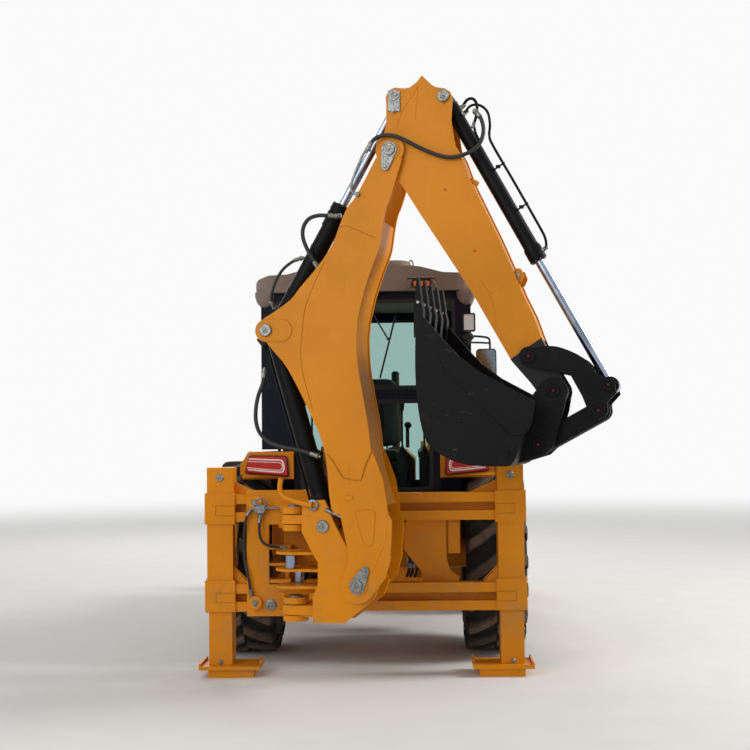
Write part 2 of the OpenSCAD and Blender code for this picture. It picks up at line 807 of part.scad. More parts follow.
module cab_glass() {
  inner = cab_half - 2 * post_t - fit;
  low = tub_half - post_t - fit;
  color(glass) place() {
    translate([-inner, -cab_back + 20, rear_sill + fit])
      cube([2 * inner, pane_t, rear_head - rear_sill - 2 * fit]);
    translate([-low, -cab_back + 20, low_sill + fit])
      cube([2 * low, pane_t, rear_low_head - low_sill - 2 * fit]);
    translate([-inner, cab_front - 30, low_sill + fit])
      cube([2 * inner, pane_t, window_head - low_sill - 2 * fit]);
    both() translate([cab_half - 24, -cab_back + post_t + fit, side_sill + fit])
      cube([pane_t, cab_back - 2.5 * post_t - 2 * fit, window_head - side_sill - 2 * fit]);
  }
}

door_t = 36;
door_edge = 60;
door_sill = 1620;
door_head = roof_z - 130;

module door() {
  front = cab_front - post_t - 10;
  difference() {
    union() {
      translate([cab_half - door_t, door_back, arch_z + 20])
        cube([door_t, front - door_back, roof_z - arch_z - 90]);
      translate([cab_half - door_t, arch_y + 30, 1110]) cube([door_t, front - arch_y - 30, 500]);
      for (z = hinge_heights) translate([cab_half, door_back, z]) cylinder(r = hinge_r, h = hinge_len);
    }
    translate([cab_half - 50, door_back + door_edge, door_sill])
      cube([60, front - door_back - 2 * door_edge, door_head - door_sill]);
  }
}

module door_right() { color(cab_paint) place() door(); }
module door_left() { color(cab_paint) place() mirror([1, 0, 0]) door(); }

module door_pane() {
  front = cab_front - post_t - 10;
  translate([cab_half - 24, door_back + door_edge + fit, door_sill + fit])
    cube([pane_t, front - door_back - 2 * door_edge - 2 * fit, door_head - door_sill - 2 * fit]);
}

module door_glass_right() { color(glass) place() door_pane(); }
module door_glass_left() { color(glass) place() mirror([1, 0, 0]) door_pane(); }

module cab_interior() {
  color([0.2, 0.2, 0.2]) place() {
    translate([-230, -120, floor_top + fit]) cube([460, 460, seat_base_h]);
    translate([-60, 620, floor_top + fit]) cube([120, 120, 700]);
  }
}

module seat_cushion() {
  color(black) place() {
    translate([-240, -130, floor_top + seat_base_h + 2 * fit]) cube([480, 480, 110]);
    translate([-240, -130, floor_top + seat_base_h + 108]) cube([480, 110, 560]);
  }
}

module mirrors() {
  color(black) place() both() {
    translate([cab_half + fit, cab_front - 40, 2150]) cube([230 - fit, 30, 20]);
    translate([cab_half + 80, cab_front - 40, 1900]) cube([150, 30, 251]);
  }
}

// Rear slide frame

post_in = post_x - post_w;

module guide_rail(top) {
  for (z = [top - bar_h, top - 2 * bar_h - bar_gap])
    translate([-post_in, rail_face, z]) cube([2 * post_in, bar_d, bar_h]);
  translate([-post_in, rail_face + bar_d - 30, top - bar_h - bar_gap]) cube([2 * post_in, 30, bar_gap]);
}

// Triangle in the corner of a post and a rail, [width, height] from the corner at z
module gusset(y, z, size) {
  translate([post_in + 5, y + 20, z]) rotate([90, 0, 0])
    linear_extrude(20) polygon([[0, -5], [0, size[1]], [-5, size[1]], [-size[0], 0], [-size[0], -5]]);
}

module slide_frame() {
  color(yellow) place() {
    guide_rail(upper_rail_top);
    guide_rail(lower_rail_top);
    both() {
      difference() {
        union() {
          translate([post_in, rail_face, post_z]) cube([post_w, post_d, post_h]);
          for (z = [post_z, upper_rail_top - 200])
            translate([post_in - 14, rail_face - 12, z]) cube([post_w + 28, post_d + 24, 210]);
        }
        translate([post_in + post_wall, rail_face + post_wall, post_z - 1])
          cube([post_w - 2 * post_wall, post_d - 2 * post_wall, post_h - post_wall + 1]);
      }
      gusset(rail_face + 40, lower_rail_top, [105, 110]);
      gusset(rail_face + 75, upper_rail_top, [190, 85]);
    }
  }
}

module stabiliser() {
  leg_w = post_w - 2 * post_wall - 2 * leg_gap;
  leg_d = post_d - 2 * post_wall - 2 * leg_gap;
  leg_h = 880;
  plate_t = 25;
  pad_left = post_x + 50 - pad_len;
  translate([post_in + post_wall + leg_gap, rail_face + post_wall + leg_gap, pad_h - 20])
    cube([leg_w, leg_d, leg_h - pad_h + 20]);
  translate([pad_left, rail_face - 60, pad_h - plate_t]) cube([pad_len, pad_d, plate_t]);
  // Turned-up ends of the pad; the inner one stays in front of the carriage's hook
  translate([pad_left, rail_face + 67, pad_h - plate_t]) cube([14, pad_d - 127, 45]);
  translate([pad_left + pad_len - 14, rail_face - 60, pad_h - plate_t]) cube([14, pad_d, 45]);
  translate([post_x - 10 - pad_len * 0.75, rail_face - 40, 0]) cube([pad_len * 0.75, pad_d - 40, pad_h - 24]);
}

module stabiliser_right() { color(yellow) place() stabiliser(); }
module stabiliser_left() { color(yellow) place() mirror([1, 0, 0]) stabiliser(); }

// Heights of the swing knuckles: [underside, top]
knuckles = [[1110, 1155], [1000, 1040], [532, 572], [422, 460]];
// Heights of the kingpost's own lugs and how far they reach between its plates
king_lugs = [[1046, 1104, 165], [466, 526, 220]];
// Plates above, between and below the two swing cylinders, on the kingpost and on the carriage
king_cranks = [[852, 868, 195], [744, 760, 230], [636, 652, 230]];
trunnions = [[852, 876], [744, 760], [628, 652]];
crank_r = 90;
swing_reach = 390;
// Heights of the left and the right swing cylinder
swing_z = [806, 698];
swing_barrel_r = 40;
swing_rod_r = 18;
swing_eye_half = 41;

module carriage() {
  left = swing_at[0] - carriage_half;
  wide = 2 * carriage_half;
  back = rail_face - fit - carriage_t;
  root = back - swing_at[1] + 5;
  color(yellow) place() {
    difference() {
      translate([left, back, post_z - 20]) cube([wide, carriage_t, upper_rail_top + 25 - post_z + 20]);
      translate([left + 150, back - 1, 620]) cube([wide - 300, carriage_t + 2, 400]);
    }
    // Hooks over the upper and under the lower rail
    translate([left, back, upper_rail_top + fit]) cube([wide, carriage_t + 60, 25]);
    translate([left, back, post_z - 25 - fit]) cube([wide, carriage_t + 60, 25]);
    for (k = knuckles) difference() {
      translate([0, 0, k[0]]) linear_extrude(k[1] - k[0]) union() {
        translate(swing_at) circle(r = 80);
        translate(swing_at)
          polygon([[-80, 0], [80, 0], [80, 150], [140, root], [-140, root], [-80, 150]]);
      }
      translate([swing_at[0], swing_at[1], k[0] - 1]) cylinder(r = swing_pin_r, h = k[1] - k[0] + 2);
    }
    // Shelves above, between and below the swing cylinders' bases, with their pins
    for (k = trunnions) difference() {
      translate([left + 140, back + 5, k[0]]) cube([wide - 280, 145, k[1] - k[0]]);
      translate([swing_at[0] - 60, back + 4, k[0] - 1]) cube([120, 147, 50]);
    }
    for (side = [0, 1]) translate([swing_foot(side)[0], swing_foot(side)[1], trunnions[2][0]])
      cylinder(r = swing_rod_r, h = trunnions[0][1] - trunnions[2][0]);
    // Swing pins, from the lower knuckle of a pair to the top of the upper one
    for (k = [[knuckles[1][0], knuckles[0][1]], [knuckles[3][0], knuckles[2][1]]])
      translate([swing_at[0], swing_at[1], k[0]]) cylinder(r = swing_pin_r, h = k[1] - k[0]);
  }
}

module kingpost() {
  outline = [
    [97, 1197], [244, 1203], [272, 1143], [302, 1067], [425, 836], [560, 780], [600, 680], [560, 580],
    [368, 430], [160, 430], [161, 591], [196, 673], [197, 809], [167, 857], [90, 1001]
  ];
  color(yellow) place() {
    boom_plane() {
      difference() {
        plate_pair(king_half - king_t, king_t) polygon(outline);
        across(boom_foot, pin_r, boom_half + 1);
      }
      across(boom_foot, pin_r - fit, boom_half + 12);
      plate_pair(king_half - king_t, king_t + 6) translate([171, 1170]) circle(r = 26);
    }
    translate([swing_at[0], swing_at[1], 0]) rotate([0, 0, -boom_turn]) for (k = king_lugs) difference() {
      translate([0, 0, k[0]]) linear_extrude(k[1] - k[0]) union() {
        circle(r = 85);
        translate([0, -85, 0]) square([k[2], 170]);
        translate([k[2] - 75, -king_half + king_t, 0]) square([75, 2 * (king_half - king_t)]);
      }
      translate([0, 0, k[0] - 1]) cylinder(r = swing_pin_r + fit, h = k[1] - k[0] + 2);
    }
    translate([swing_at[0], swing_at[1], 0]) rotate([0, 0, -boom_turn]) for (k = king_cranks)
      translate([0, 0, k[0]]) linear_extrude(k[1] - k[0]) union() {
        circle(r = 125);
        translate([0, -king_half + king_t, 0]) square([k[2], 2 * (king_half - king_t)]);
      }
  }
}

// Boom sections: [way from foot pin (0) over hump pin (1) to top pin (2), back edge, front edge]
boom_rows = [
  [0.11, 50, -195], [0.265, 127, -190], [0.297, 209, -165], [0.515, 276, -35], [0.652, 376, 12],
  [0.844, 564, 92], [0.922, 682, 115], [0.997, 787, 128], [1.057, 766, 127], [1.099, 697, 126],
  [1.173, 586, 112], [1.246, 524, 97], [1.366, 414, 60], [1.486, 330, 18], [1.595, 290, 8],
  [1.687, 249, -5], [1.753, 194, -30], [1.955, 86, -85]
];
function boom_at(way) = way < 1 ? way * hump_along : hump_along + (way - 1) * (boom_len - hump_along);
function boom_edge(side, inset) = [for (r = boom_rows) [boom_at(r[0]), r[side] + inset]];

module boom() {
  core_from = boom_at(0.33);
  core_to = boom_at(1.62);
  core_off = hump_off - 195;
  pins = [[0, 0], [boom_len, 0], [hump_along, hump_off]];
  color(yellow) place() boom_plane() translate([boom_foot[0], boom_foot[1], 0]) rotate([0, 0, boom_rest]) {
    difference() {
      union() {
        plate_pair(boom_half - boom_t, boom_t) union() {
          polygon(concat(curve(boom_edge(1, 0), 3), reversed(curve(boom_edge(2, 0), 3))));
          circle(r = 110);
          polygon([[0, 110], [200, 60], [200, -200], [70, -175], [-60, -90]]);
          translate([boom_len, 0, 0]) circle(r = 92);
        }
        translate([0, 0, -boom_half + boom_t]) linear_extrude(2 * (boom_half - boom_t)) intersection() {
          polygon(concat(curve(boom_edge(1, -8), 3), reversed(curve(boom_edge(2, 8), 3))));
          translate([core_from, -300]) square([core_to - core_from, core_off + 300]);
        }
        // Raised bosses round the pins
        plate_pair(boom_half, 6) for (p = pins) translate(p) circle(r = 66);
      }
      for (p = pins) across(p, pin_r, boom_half + 7);
    }
    // The foot's pin belongs to the kingpost
    for (p = [pins[1], pins[2]]) across(p, pin_r - fit, boom_half + 12);
  }
}

// Dipper outline round its head: [along, across], from its upper to its lower edge
dipper_head = [
  [73, 420], [-45, 507], [-82, 515], [-119, 502], [-161, 461], [-187, 448], [-252, 435], [-281, 430],
  [-265, 380], [-265, 324], [-281, 293], [-326, 245], [-332, 201], [-309, 165], [-259, 137], [-164, 72],
  [-115, 20], [-105, -50], [0, -110], [90, -100]
];
// Dipper sections below its head: [share of its length, lower edge, upper edge]
dipper_rows = [
  [0.12, -63, 352], [0.154, -65, 349], [0.24, -70, 310], [0.458, -74, 252], [0.575, -78, 213],
  [0.668, -90, 177], [0.748, -100, 157], [0.84, -112, 115], [0.935, -90, 92]
];
function dipper_edge(side, inset) = [for (r = dipper_rows) [r[0] * dipper_len, r[side] + inset]];

module dipper() {
  color(yellow) place() boom_plane() translate([boom_top[0], boom_top[1], 0]) rotate([0, 0, -dipper_rest]) {
    difference() {
      union() {
        plate_pair(dipper_half - dipper_t, dipper_t) union() {
          polygon(concat(
            dipper_head, dipper_edge(1, 0), [[dipper_len, -85], [dipper_len, 85]], reversed(dipper_edge(2, 0))
          ));
          translate([dipper_len, 0, 0]) circle(r = 85);
        }
        translate([0, 0, -dipper_half + dipper_t]) linear_extrude(2 * (dipper_half - dipper_t))
          polygon(concat(dipper_edge(1, 8), [[dipper_len - 80, 0]], reversed(dipper_edge(2, -8))));
        across([dipper_len, 0], 70, dipper_half);
      }
      across([0, 0], pin_r, dipper_half + 1);
      across([dipper_len, 0], pin_r, dipper_half + 1);
      across([dipper_len - lever_back, -5], pin_r, dipper_half + 1);
      across([-85, 466], pin_r, dipper_half + 1);
    }
    across([-85, 466], pin_r - fit, dipper_half + 10);
  }
}

// Backhoe bucket outline from its pin: the floor and back, then the mouth
bucket_floor = [
  [-793, 462], [-802, 150], [-787, -99], [-742, -291], [-659, -373], [-523, -429], [-339, -444], [-225, -440],
  [-172, -300], [-bucket_near, -60]
];
bucket_mouth = [[-242, 18], [-378, 74], [-514, 188], [-613, 297], [-765, 475]];
ear_foot = [-97, -325];

module backhoe_bucket() {
  floor_curve = curve(bucket_floor, 3);
  color(black) place() boom_plane() translate([bucket_pin[0], bucket_pin[1], 0]) {
    difference() {
      translate([0, 0, -bucket_half]) linear_extrude(2 * bucket_half)
        polygon(concat(floor_curve, bucket_mouth));
      translate([0, 0, -bucket_half + bucket_t]) linear_extrude(2 * (bucket_half - bucket_t))
        offset(delta = -bucket_t) polygon(concat([[-793, 800]], floor_curve, [[-100, 800]]));
    }
    difference() {
      plate_pair(ear_in, ear_t) union() {
        circle(r = 82);
        translate(ear_foot) circle(r = 72);
        polygon([
          [-140, -40], [-60, 60], [0, 82], [82, 0], [60, -120], [-6, -339], [-60, -390], [-240, -444],
          [-180, -300]
        ]);
      }
      across([0, 0], pin_r, lever_in);
      across(ear_foot, pin_r, lever_in);
    }
    across([0, 0], pin_r - fit, ear_in + ear_t);
    across(ear_foot, pin_r - fit, ear_in + ear_t);
    // Teeth along the lip
    for (i = [0 : teeth - 1])
      translate([-790, 462, -bucket_half + 35 + i * (2 * bucket_half - 70) / (teeth - 1)]) bucket_tooth();
  }
}

// Adapter that grips the lip, and the narrower point on it
module bucket_tooth() {
  point = tooth_len - 95;
  linear_extrude(66, center = true)
    polygon([[-18, -130], [-18, 60], [-8, point - 30], [24, point - 30], [42, 30], [26, -130], [0, -122]]);
  linear_extrude(50, center = true)
    polygon([[-12, point - 40], [2, tooth_len], [12, tooth_len], [30, point - 40]]);
}

module tipping_lever() {
  outer = [[-40, 40], [107, 60], [205, 45], [330, -19], [411, -118]];
  color(black) place() boom_plane() translate([lever_pin[0], lever_pin[1], 0]) {
    plate_pair(lever_in, lever_t) union() {
      circle(r = 60);
      polygon(concat(curve(outer, 3), [
        [500, -150], [lever_reach, -230], [465, -290], [470, -345], [413, -395], [355, -350], [318, -249],
        [247, -114], [197, -102], [0, -60]
      ]));
    }
    across([0, 0], pin_r - fit, lever_in + lever_t + 8);
  }
}

module bucket_link() {
  tip = [lever_tip[0] - link_pin[0], lever_tip[1] - link_pin[1]];
  far = norm(tip);
  color(black) place() boom_plane() translate([link_pin[0], link_pin[1], 0])
    rotate([0, 0, atan2(tip[1], tip[0])]) difference() {
      union() {
        plate_pair(link_in, link_t) union() {
          circle(r = 62);
          translate([far, 0, 0]) circle(r = 62);
          translate([0, -62, 0]) square([far, 124]);
        }
        translate([100, -50, -link_in - 1]) cube([far - 200, 40, 2 * link_in + 2]);
      }
      across([0, 0], pin_r, 200);
      across([far, 0], pin_r, 200);
    }
}

// Cylinders of the backhoe

module boom_barrel() {
  color(black) place() boom_plane()
    barrel(hump_pin, king_pin, boom_cyl_rest - 110, boom_barrel_r, rod_r, eye_half);
}

module boom_rod() {
  color(steel) place() boom_plane()
    rod(hump_pin, king_pin, boom_cyl_rest - rod_inset, rod_r, 60, eye_half, pin_r);
}

module dipper_barrel() {
  end = 840;
  cheek_in = boom_barrel_r + 5;
  cheek_out = 100;
  color(black) place() boom_plane()
    translate([hump_pin[0], hump_pin[1], 0]) rotate([0, 0, angle_to(hump_pin, head_pin)]) difference() {
      union() {
        bar([0, 0], [1, 0], dipper_barrel_r, 120, end);
        bar([0, 0], [1, 0], dipper_barrel_r + 6, end - 70, end);
        // Fork that straddles the boom cylinder's eye
        translate([85, -48, -cheek_out]) cube([55, 96, 2 * cheek_out]);
        plate_pair(cheek_in, cheek_out - cheek_in) union() {
          circle(r = 55);
          translate([0, -48]) square([90, 96]);
        }
      }
      bar([0, 0], [1, 0], rod_r + fit, 110, end + 1);
      across([0, 0], pin_r + fit, cheek_out + 1);
    }
}

module dipper_rod() {
  color(steel) place() boom_plane()
    rod(hump_pin, head_pin, dipper_cyl_shut - rod_inset - 40, rod_r, 58, eye_half, pin_r);
}

module bucket_barrel() {
  color(black) place() boom_plane()
    barrel(base_pin, rod_lug, bucket_cyl_shut - 80, bucket_barrel_r, rod_r, eye_half);
}

module bucket_rod() {
  color(steel) place() boom_plane()
    rod(base_pin, rod_lug, bucket_cyl_shut - rod_inset, rod_r, 55, eye_half, pin_r);
}

// Hoses of the backhoe, as [reach, height, side] from the swing axis

hose_r = 13;
head_route = [
  [575, 3425, 187], [597, 3462, 188], [632, 3489, 190], [685, 3499, 190], [750, 3489, 186], [827, 3452, 176],
  [904, 3408, 164], [1012, 3358, 154], [1101, 3338, 150], [1190, 3354, 144], [1248, 3388, 128],
  [1284, 3442, 108], [1296, 3512, 92], [1280, 3583, 74], [1246, 3632, 60]
];
hump_route = [
  [318, 3022, 92], [279, 3026, 102], [211, 3030, 108], [150, 3011, 112], [114, 2961, 114], [108, 2896, 112],
  [130, 2826, 106], [163, 2762, 100], [200, 2695, 92]
];
foot_route = [
  [-183, 2029, 60], [-186, 1955, 80], [-210, 1880, 95], [-226, 1796, 100], [-226, 1705, 100],
  [-198, 1630, 100], [-131, 1570, 100], [-29, 1537, 104], [73, 1519, 110], [188, 1485, 118]
];

module hose_head() { color(black) place() boom_plane() hose(head_route, hose_r); }
module hose_hump() { color(black) place() boom_plane() hose(hump_route, hose_r); }
module hose_foot() { color(black) place() boom_plane() hose(foot_route, hose_r); }

// Swing cylinders, the left (side 0) above the right (side 1), as seen from above
function swing_foot(side) = [swing_at[0] + (2 * side - 1) * crank_r, swing_at[1] + swing_reach];
function crank_pin(side, turn) = polar(swing_at, crank_r, turn - 90 + 180 * side);

module swing_barrel(side) {
  p = swing_foot(side);
  translate([0, 0, swing_z[side]]) difference() {
    union() {
      bar(p, crank_pin(side, -boom_turn), swing_barrel_r, 0, 255);
      across(p, swing_barrel_r, swing_eye_half);
    }
    bar(p, crank_pin(side, -boom_turn), swing_rod_r + fit, 30, 256);
    across(p, swing_rod_r + fit, swing_eye_half + 1);
  }
}

module swing_rod(side) {
  p = swing_foot(side);
  q = crank_pin(side, -boom_turn);
  shut = norm([crank_r, swing_reach - crank_r]);
  far = span(p, q);
  translate([0, 0, swing_z[side]]) {
    bar(p, q, swing_rod_r, far - shut + 60, far - 10);
    across(q, 32, swing_eye_half);
  }
}

module swing_barrel_left() { color(black) place() swing_barrel(0); }
module swing_barrel_right() { color(black) place() swing_barrel(1); }
module swing_rod_left() { color(steel) place() swing_rod(0); }
module swing_rod_right() { color(steel) place() swing_rod(1); }

// Loader

module loader_arms() {
  arm = [
    [1060, 1500], [2560, 1360], [2740, 1260], [3370, 400], [3405, 300], [3370, 235], [3290, 235], [3230, 320],
    [2560, 1120], [1900, 1220], [1080, 1350], [1030, 1430]
  ];
  color(yellow) place() {
    both() {
      side_plane(arm_x) {
        difference() {
          translate([0, 0, -arm_w / 2]) linear_extrude(arm_w) polygon(arm);
          across(arm_pivot, pin_r + fit, 200);
          across(hinge, pin_r, 200);
        }
        // Lugs for the lift cylinder's eye
        plate_pair(45, 10) polygon([[2160, 1185], [2250, 1050], [2350, 1050], [2460, 1140]]);
      }
      // Stubs that carry the tilt lever and the tilt cylinder, on the arm's inner side
      translate([arm_x - arm_w / 2, 0, 0]) rotate([90, 0, -90]) mirror([1, 0, 0]) {
        translate([tilt_pivot[0], tilt_pivot[1], 0]) cylinder(r = 30, h = 46);
        translate([tilt_base[0], tilt_base[1], 0]) cylinder(r = 25 - fit, h = 90);
      }
    }
    translate([-arm_x + arm_w / 2, tube_at[0], tube_at[1]]) rotate([0, 90, 0])
      cylinder(r = 55, h = 2 * arm_x - arm_w);
  }
}

module loader_bucket() {
  shell = [[scoop_front, 0], [3590, 0], [3500, 80], [3465, 240], [3465, 700], [3510, 900]];
  lip = [[scoop_front - 420, 640], [scoop_front - 60, 160]];
  color(yellow) place() {
    difference() {
      translate([-scoop_w / 2, 0, 0]) rotate([90, 0, 90]) linear_extrude(scoop_w) polygon(concat(shell, lip));
      translate([-scoop_w / 2 + scoop_t, 0, 0]) rotate([90, 0, 90]) linear_extrude(scoop_w - 2 * scoop_t)
        polygon([
          [4400, scoop_t], [3590 + scoop_t / 2, scoop_t], [3500 + scoop_t, 80 + scoop_t / 2],
          [3465 + scoop_t, 240], [3465 + scoop_t, 700], [3510 + scoop_t, 900], [3520 + scoop_t, 1000],
          [4400, 1000]
        ]);
    }
    both() side_plane(arm_x) {
      difference() {
        plate_pair(arm_w / 2 + 5, 24)
          polygon([[3270, 250], [3270, 350], [3320, 400], [3475, 430], [3475, 200], [3310, 220]]);
        across(hinge, pin_r, 200);
      }
      across(hinge, pin_r - fit, arm_w / 2 + 29);
    }
    // Lugs of the tilt links
    both() side_plane(tilt_x) {
      plate_pair(24, 14) polygon([[3475, 500], [3370, 540], [3350, 600], [3380, 640], [3475, 690]]);
      across(tilt_lug, 25 - fit, 38);
    }
  }
}

module lift_barrels() {
  color(black) place() both() side_plane(arm_x)
    barrel(lift_base, lift_eye, 1000, lift_barrel_r, loader_rod_r, 40);
}

module lift_rods() {
  color(steel) place() both() side_plane(arm_x) rod(lift_base, lift_eye, 1080, loader_rod_r, 42, 38, 25);
}

module tilt_barrels() {
  color(black) place() both() side_plane(tilt_x) difference() {
    union() {
      bar(tilt_base, tilt_rod_pin, tilt_barrel_r, 36, 700);
      across(tilt_base, 36, 18);
    }
    bar(tilt_base, tilt_rod_pin, 20 + fit, 60, 701);
    across(tilt_base, 25 + fit, 40);
  }
}

module tilt_rods() {
  far = span(tilt_base, tilt_rod_pin);
  color(steel) place() both() side_plane(tilt_x) {
    bar(tilt_base, tilt_rod_pin, 20, far - 730, far - 20);
    across(tilt_rod_pin, 36, 17);
  }
}

module tilt_levers() {
  color(yellow) place() both() side_plane(lever_x) difference() {
    union() {
      translate([0, 0, -16]) linear_extrude(32) union() {
        polygon([
          [tilt_pivot[0] - 50, tilt_pivot[1] - 20], [tilt_pivot[0] + 50, tilt_pivot[1] - 20],
          [tilt_top[0] + 45, tilt_top[1] - 10], [tilt_top[0], tilt_top[1] + 45],
          [tilt_rod_pin[0] - 10, tilt_rod_pin[1] + 42], [tilt_rod_pin[0] - 42, tilt_rod_pin[1]]
        ]);
        translate(tilt_pivot) circle(r = 60);
      }
      translate([0, 0, -34]) across(tilt_top, 25 - fit, 26);
    }
    across(tilt_pivot, 30 + fit, 40);
  }
}

module tilt_links() {
  far = span(tilt_top, tilt_lug);
  color(yellow) place() both() side_plane(tilt_x) difference() {
    union() {
      translate([tilt_top[0], tilt_top[1], 0]) rotate([0, 0, angle_to(tilt_top, tilt_lug)])
        translate([0, -30, -17]) cube([far, 60, 34]);
      across(tilt_top, 42, 17);
      across(tilt_lug, 42, 17);
    }
    across(tilt_top, 25 + fit, 40);
    across(tilt_lug, 25 + fit, 40);
  }
}

chassis();
drivetrain();
rear_axle();
front_axle();
knuckle_left();
knuckle_right();
tyre_rear_left();
tyre_rear_right();
tyre_front_left();
tyre_front_right();
rim_rear_left();
rim_rear_right();
rim_front_left();
rim_front_right();
hood();
grille();
stacks();
fenders();
lamps();
cab_frame();
cab_roof();
cab_glass();
door_left();
door_right();
door_glass_left();
door_glass_right();
cab_interior();
seat_cushion();
mirrors();
slide_frame();
stabiliser_left();
stabiliser_right();
carriage();
kingpost();
boom();
dipper();
backhoe_bucket();
tipping_lever();
bucket_link();
boom_barrel();
boom_rod();
dipper_barrel();
dipper_rod();
bucket_barrel();
bucket_rod();
swing_barrel_left();
swing_barrel_right();
swing_rod_left();
swing_rod_right();
loader_arms();
loader_bucket();
lift_barrels();
lift_rods();
tilt_levers();
tilt_links();
tilt_barrels();
tilt_rods();
hose_head();
hose_hump();
hose_foot();
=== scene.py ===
"""Looks of a backhoe loader: finishes, tread, hoses, pins, glass, lamps and the studio it stands in."""
import json
import math

import bmesh
import bpy
import numpy as np
from mathutils import Matrix, Vector


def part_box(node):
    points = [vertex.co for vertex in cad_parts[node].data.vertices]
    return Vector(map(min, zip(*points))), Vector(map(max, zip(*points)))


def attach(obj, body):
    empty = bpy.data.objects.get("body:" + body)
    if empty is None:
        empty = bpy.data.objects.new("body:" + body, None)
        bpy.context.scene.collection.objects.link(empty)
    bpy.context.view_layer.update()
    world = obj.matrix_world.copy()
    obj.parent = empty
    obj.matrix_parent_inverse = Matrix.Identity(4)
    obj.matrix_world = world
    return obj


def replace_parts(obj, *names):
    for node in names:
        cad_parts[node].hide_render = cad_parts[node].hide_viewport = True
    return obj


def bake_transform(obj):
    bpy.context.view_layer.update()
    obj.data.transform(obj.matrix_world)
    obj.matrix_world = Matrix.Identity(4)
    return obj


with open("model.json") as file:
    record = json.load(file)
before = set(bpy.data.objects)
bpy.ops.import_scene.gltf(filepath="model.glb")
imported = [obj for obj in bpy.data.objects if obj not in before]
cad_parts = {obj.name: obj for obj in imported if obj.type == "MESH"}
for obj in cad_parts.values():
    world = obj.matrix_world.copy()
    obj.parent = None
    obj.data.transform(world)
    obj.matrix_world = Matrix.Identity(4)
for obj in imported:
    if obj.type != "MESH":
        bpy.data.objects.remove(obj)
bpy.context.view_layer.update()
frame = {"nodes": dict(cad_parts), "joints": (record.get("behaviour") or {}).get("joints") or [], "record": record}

bl_info = {
    "name": "Backhoe Loader Looks",
    "version": (1, 0, 0),
    "blender": (4, 5, 0),
    "location": "View3D > Sidebar > Backhoe",
    "description": "Adds finishes, tyres, hoses, pins, cab fittings and a studio to a backhoe loader",
    "category": "Object",
}

JOINTS = {joint["name"]: joint for joint in frame["joints"]}


# Places read from the frame

def place_of(joint):
    """Where a hinge turns, in metres."""
    return np.array(JOINTS[joint]["pos_m"], float)


def axis_of(joint):
    """Unit vector of a joint's axis."""
    axis = np.array(JOINTS[joint]["axis"], float)
    return axis / np.linalg.norm(axis)


def low(node):
    """Lowest corner of a node's box."""
    return np.array(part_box(node)[0])


def high(node):
    """Highest corner of a node's box."""
    return np.array(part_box(node)[1])


def middle(node):
    """Centre of a node's box."""
    return (low(node) + high(node)) / 2


# The digging arm's plane: NEAR points out of it to the near side, REACH along it and UP
NEAR = axis_of("boom_lift")
REACH = np.array([-NEAR[1], NEAR[0], 0.0])
UP = np.array([0.0, 0.0, 1.0])
SWING = place_of("kingpost_swing") * [1, 1, 0]
AXLE = (place_of("wheel_rear_left_spin") + place_of("wheel_rear_right_spin")) / 2 * [1, 1, 0]


def on_machine(x, y, z):
    """Point measured from the ground below the rear axle's middle: right, forward, up."""
    return AXLE + np.array([x, y, z], float)


def on_arm(reach, height, side=0.0):
    """Point of the digging arm's plane: reach from the swing axis, height, and distance to the near side."""
    return SWING + reach * REACH + height * UP + side * NEAR


def in_plane(joint):
    """Reach and height of a joint of the digging arm."""
    place = place_of(joint)
    return float(np.dot(place - SWING, REACH)), float(place[2])


# Pins of the digging arm, as reach and height
PINS = {
    "foot": in_plane("boom_lift"), "hump": in_plane("boom_cylinder_barrel_turn"), "top": in_plane("dipper_swing"),
    "base": in_plane("bucket_cylinder_barrel_turn"), "bucket": in_plane("bucket_curl"),
    "lever": in_plane("lever_turn"), "link": in_plane("link_turn"),
    "king": (.232, 1.035), "head": (.7308, 3.7668), "tip": (1.9799, 1.7403), "lug": (2.0419, 1.8943),
}


# Faces that fittings stand on, from the rear axle's middle or from the arm's plane
CAB_REAR, CAB_FRONT, CAB_SIDE = -.65, .93, .75
ROOF_REAR, ROOF_FRONT = -.6945, .9745
CARRIAGE_FACE, COLLAR_FACE = -1.1403, -1.1075
BOOM_FACE, DIPPER_FACE, KINGPOST_FACE, BUCKET_HALF = .16, .125, .136, .39

# Directions: outward at the machine's right and at its back
OUT, BACK = (1, 0, 0), (0, -1, 0)
REAR = ((1.0, 0.0, 0.0), (0.0, 0.0, 1.0))
FRONT = ((-1.0, 0.0, 0.0), (0.0, 0.0, 1.0))
RIGHT = ((0.0, 1.0, 0.0), (0.0, 0.0, 1.0))
TOP = ((1.0, 0.0, 0.0), (0.0, 1.0, 0.0))


# Surfaces from numpy arrays

def mesh_object(name, points, faces, smooth=True):
    """An object whose place is in its mesh, from points and lists of corners; points in one place are joined."""
    mesh = bpy.data.meshes.new(name)
    mesh.from_pydata(np.asarray(points, float).reshape(-1, 3).tolist(), [], faces)
    form = bmesh.new()
    form.from_mesh(mesh)
    bmesh.ops.remove_doubles(form, verts=form.verts, dist=1e-6)
    form.to_mesh(mesh)
    form.free()
    mesh.polygons.foreach_set("use_smooth", [smooth] * len(mesh.polygons))
    if smooth:
        mesh.set_sharp_from_angle(angle=math.radians(38))
    mesh.update()
    piece = bpy.data.objects.new(name, mesh)
    bpy.context.scene.collection.objects.link(piece)
    return piece


def grid_faces(rows, columns, wrap_rows=False, wrap_columns=False, first=0):
    """Corners of the quads of a grid of points, whose rows or columns may close on themselves."""
    r = np.arange(rows if wrap_rows else rows - 1)
    c = np.arange(columns if wrap_columns else columns - 1)
    r, c = np.meshgrid(r, c, indexing="ij")
    r, c = r.ravel(), c.ravel()
    r2, c2 = (r + 1) % rows, (c + 1) % columns
    corners = np.stack([r * columns + c, r * columns + c2, r2 * columns + c2, r2 * columns + c], 1)
    return (corners + first).tolist()


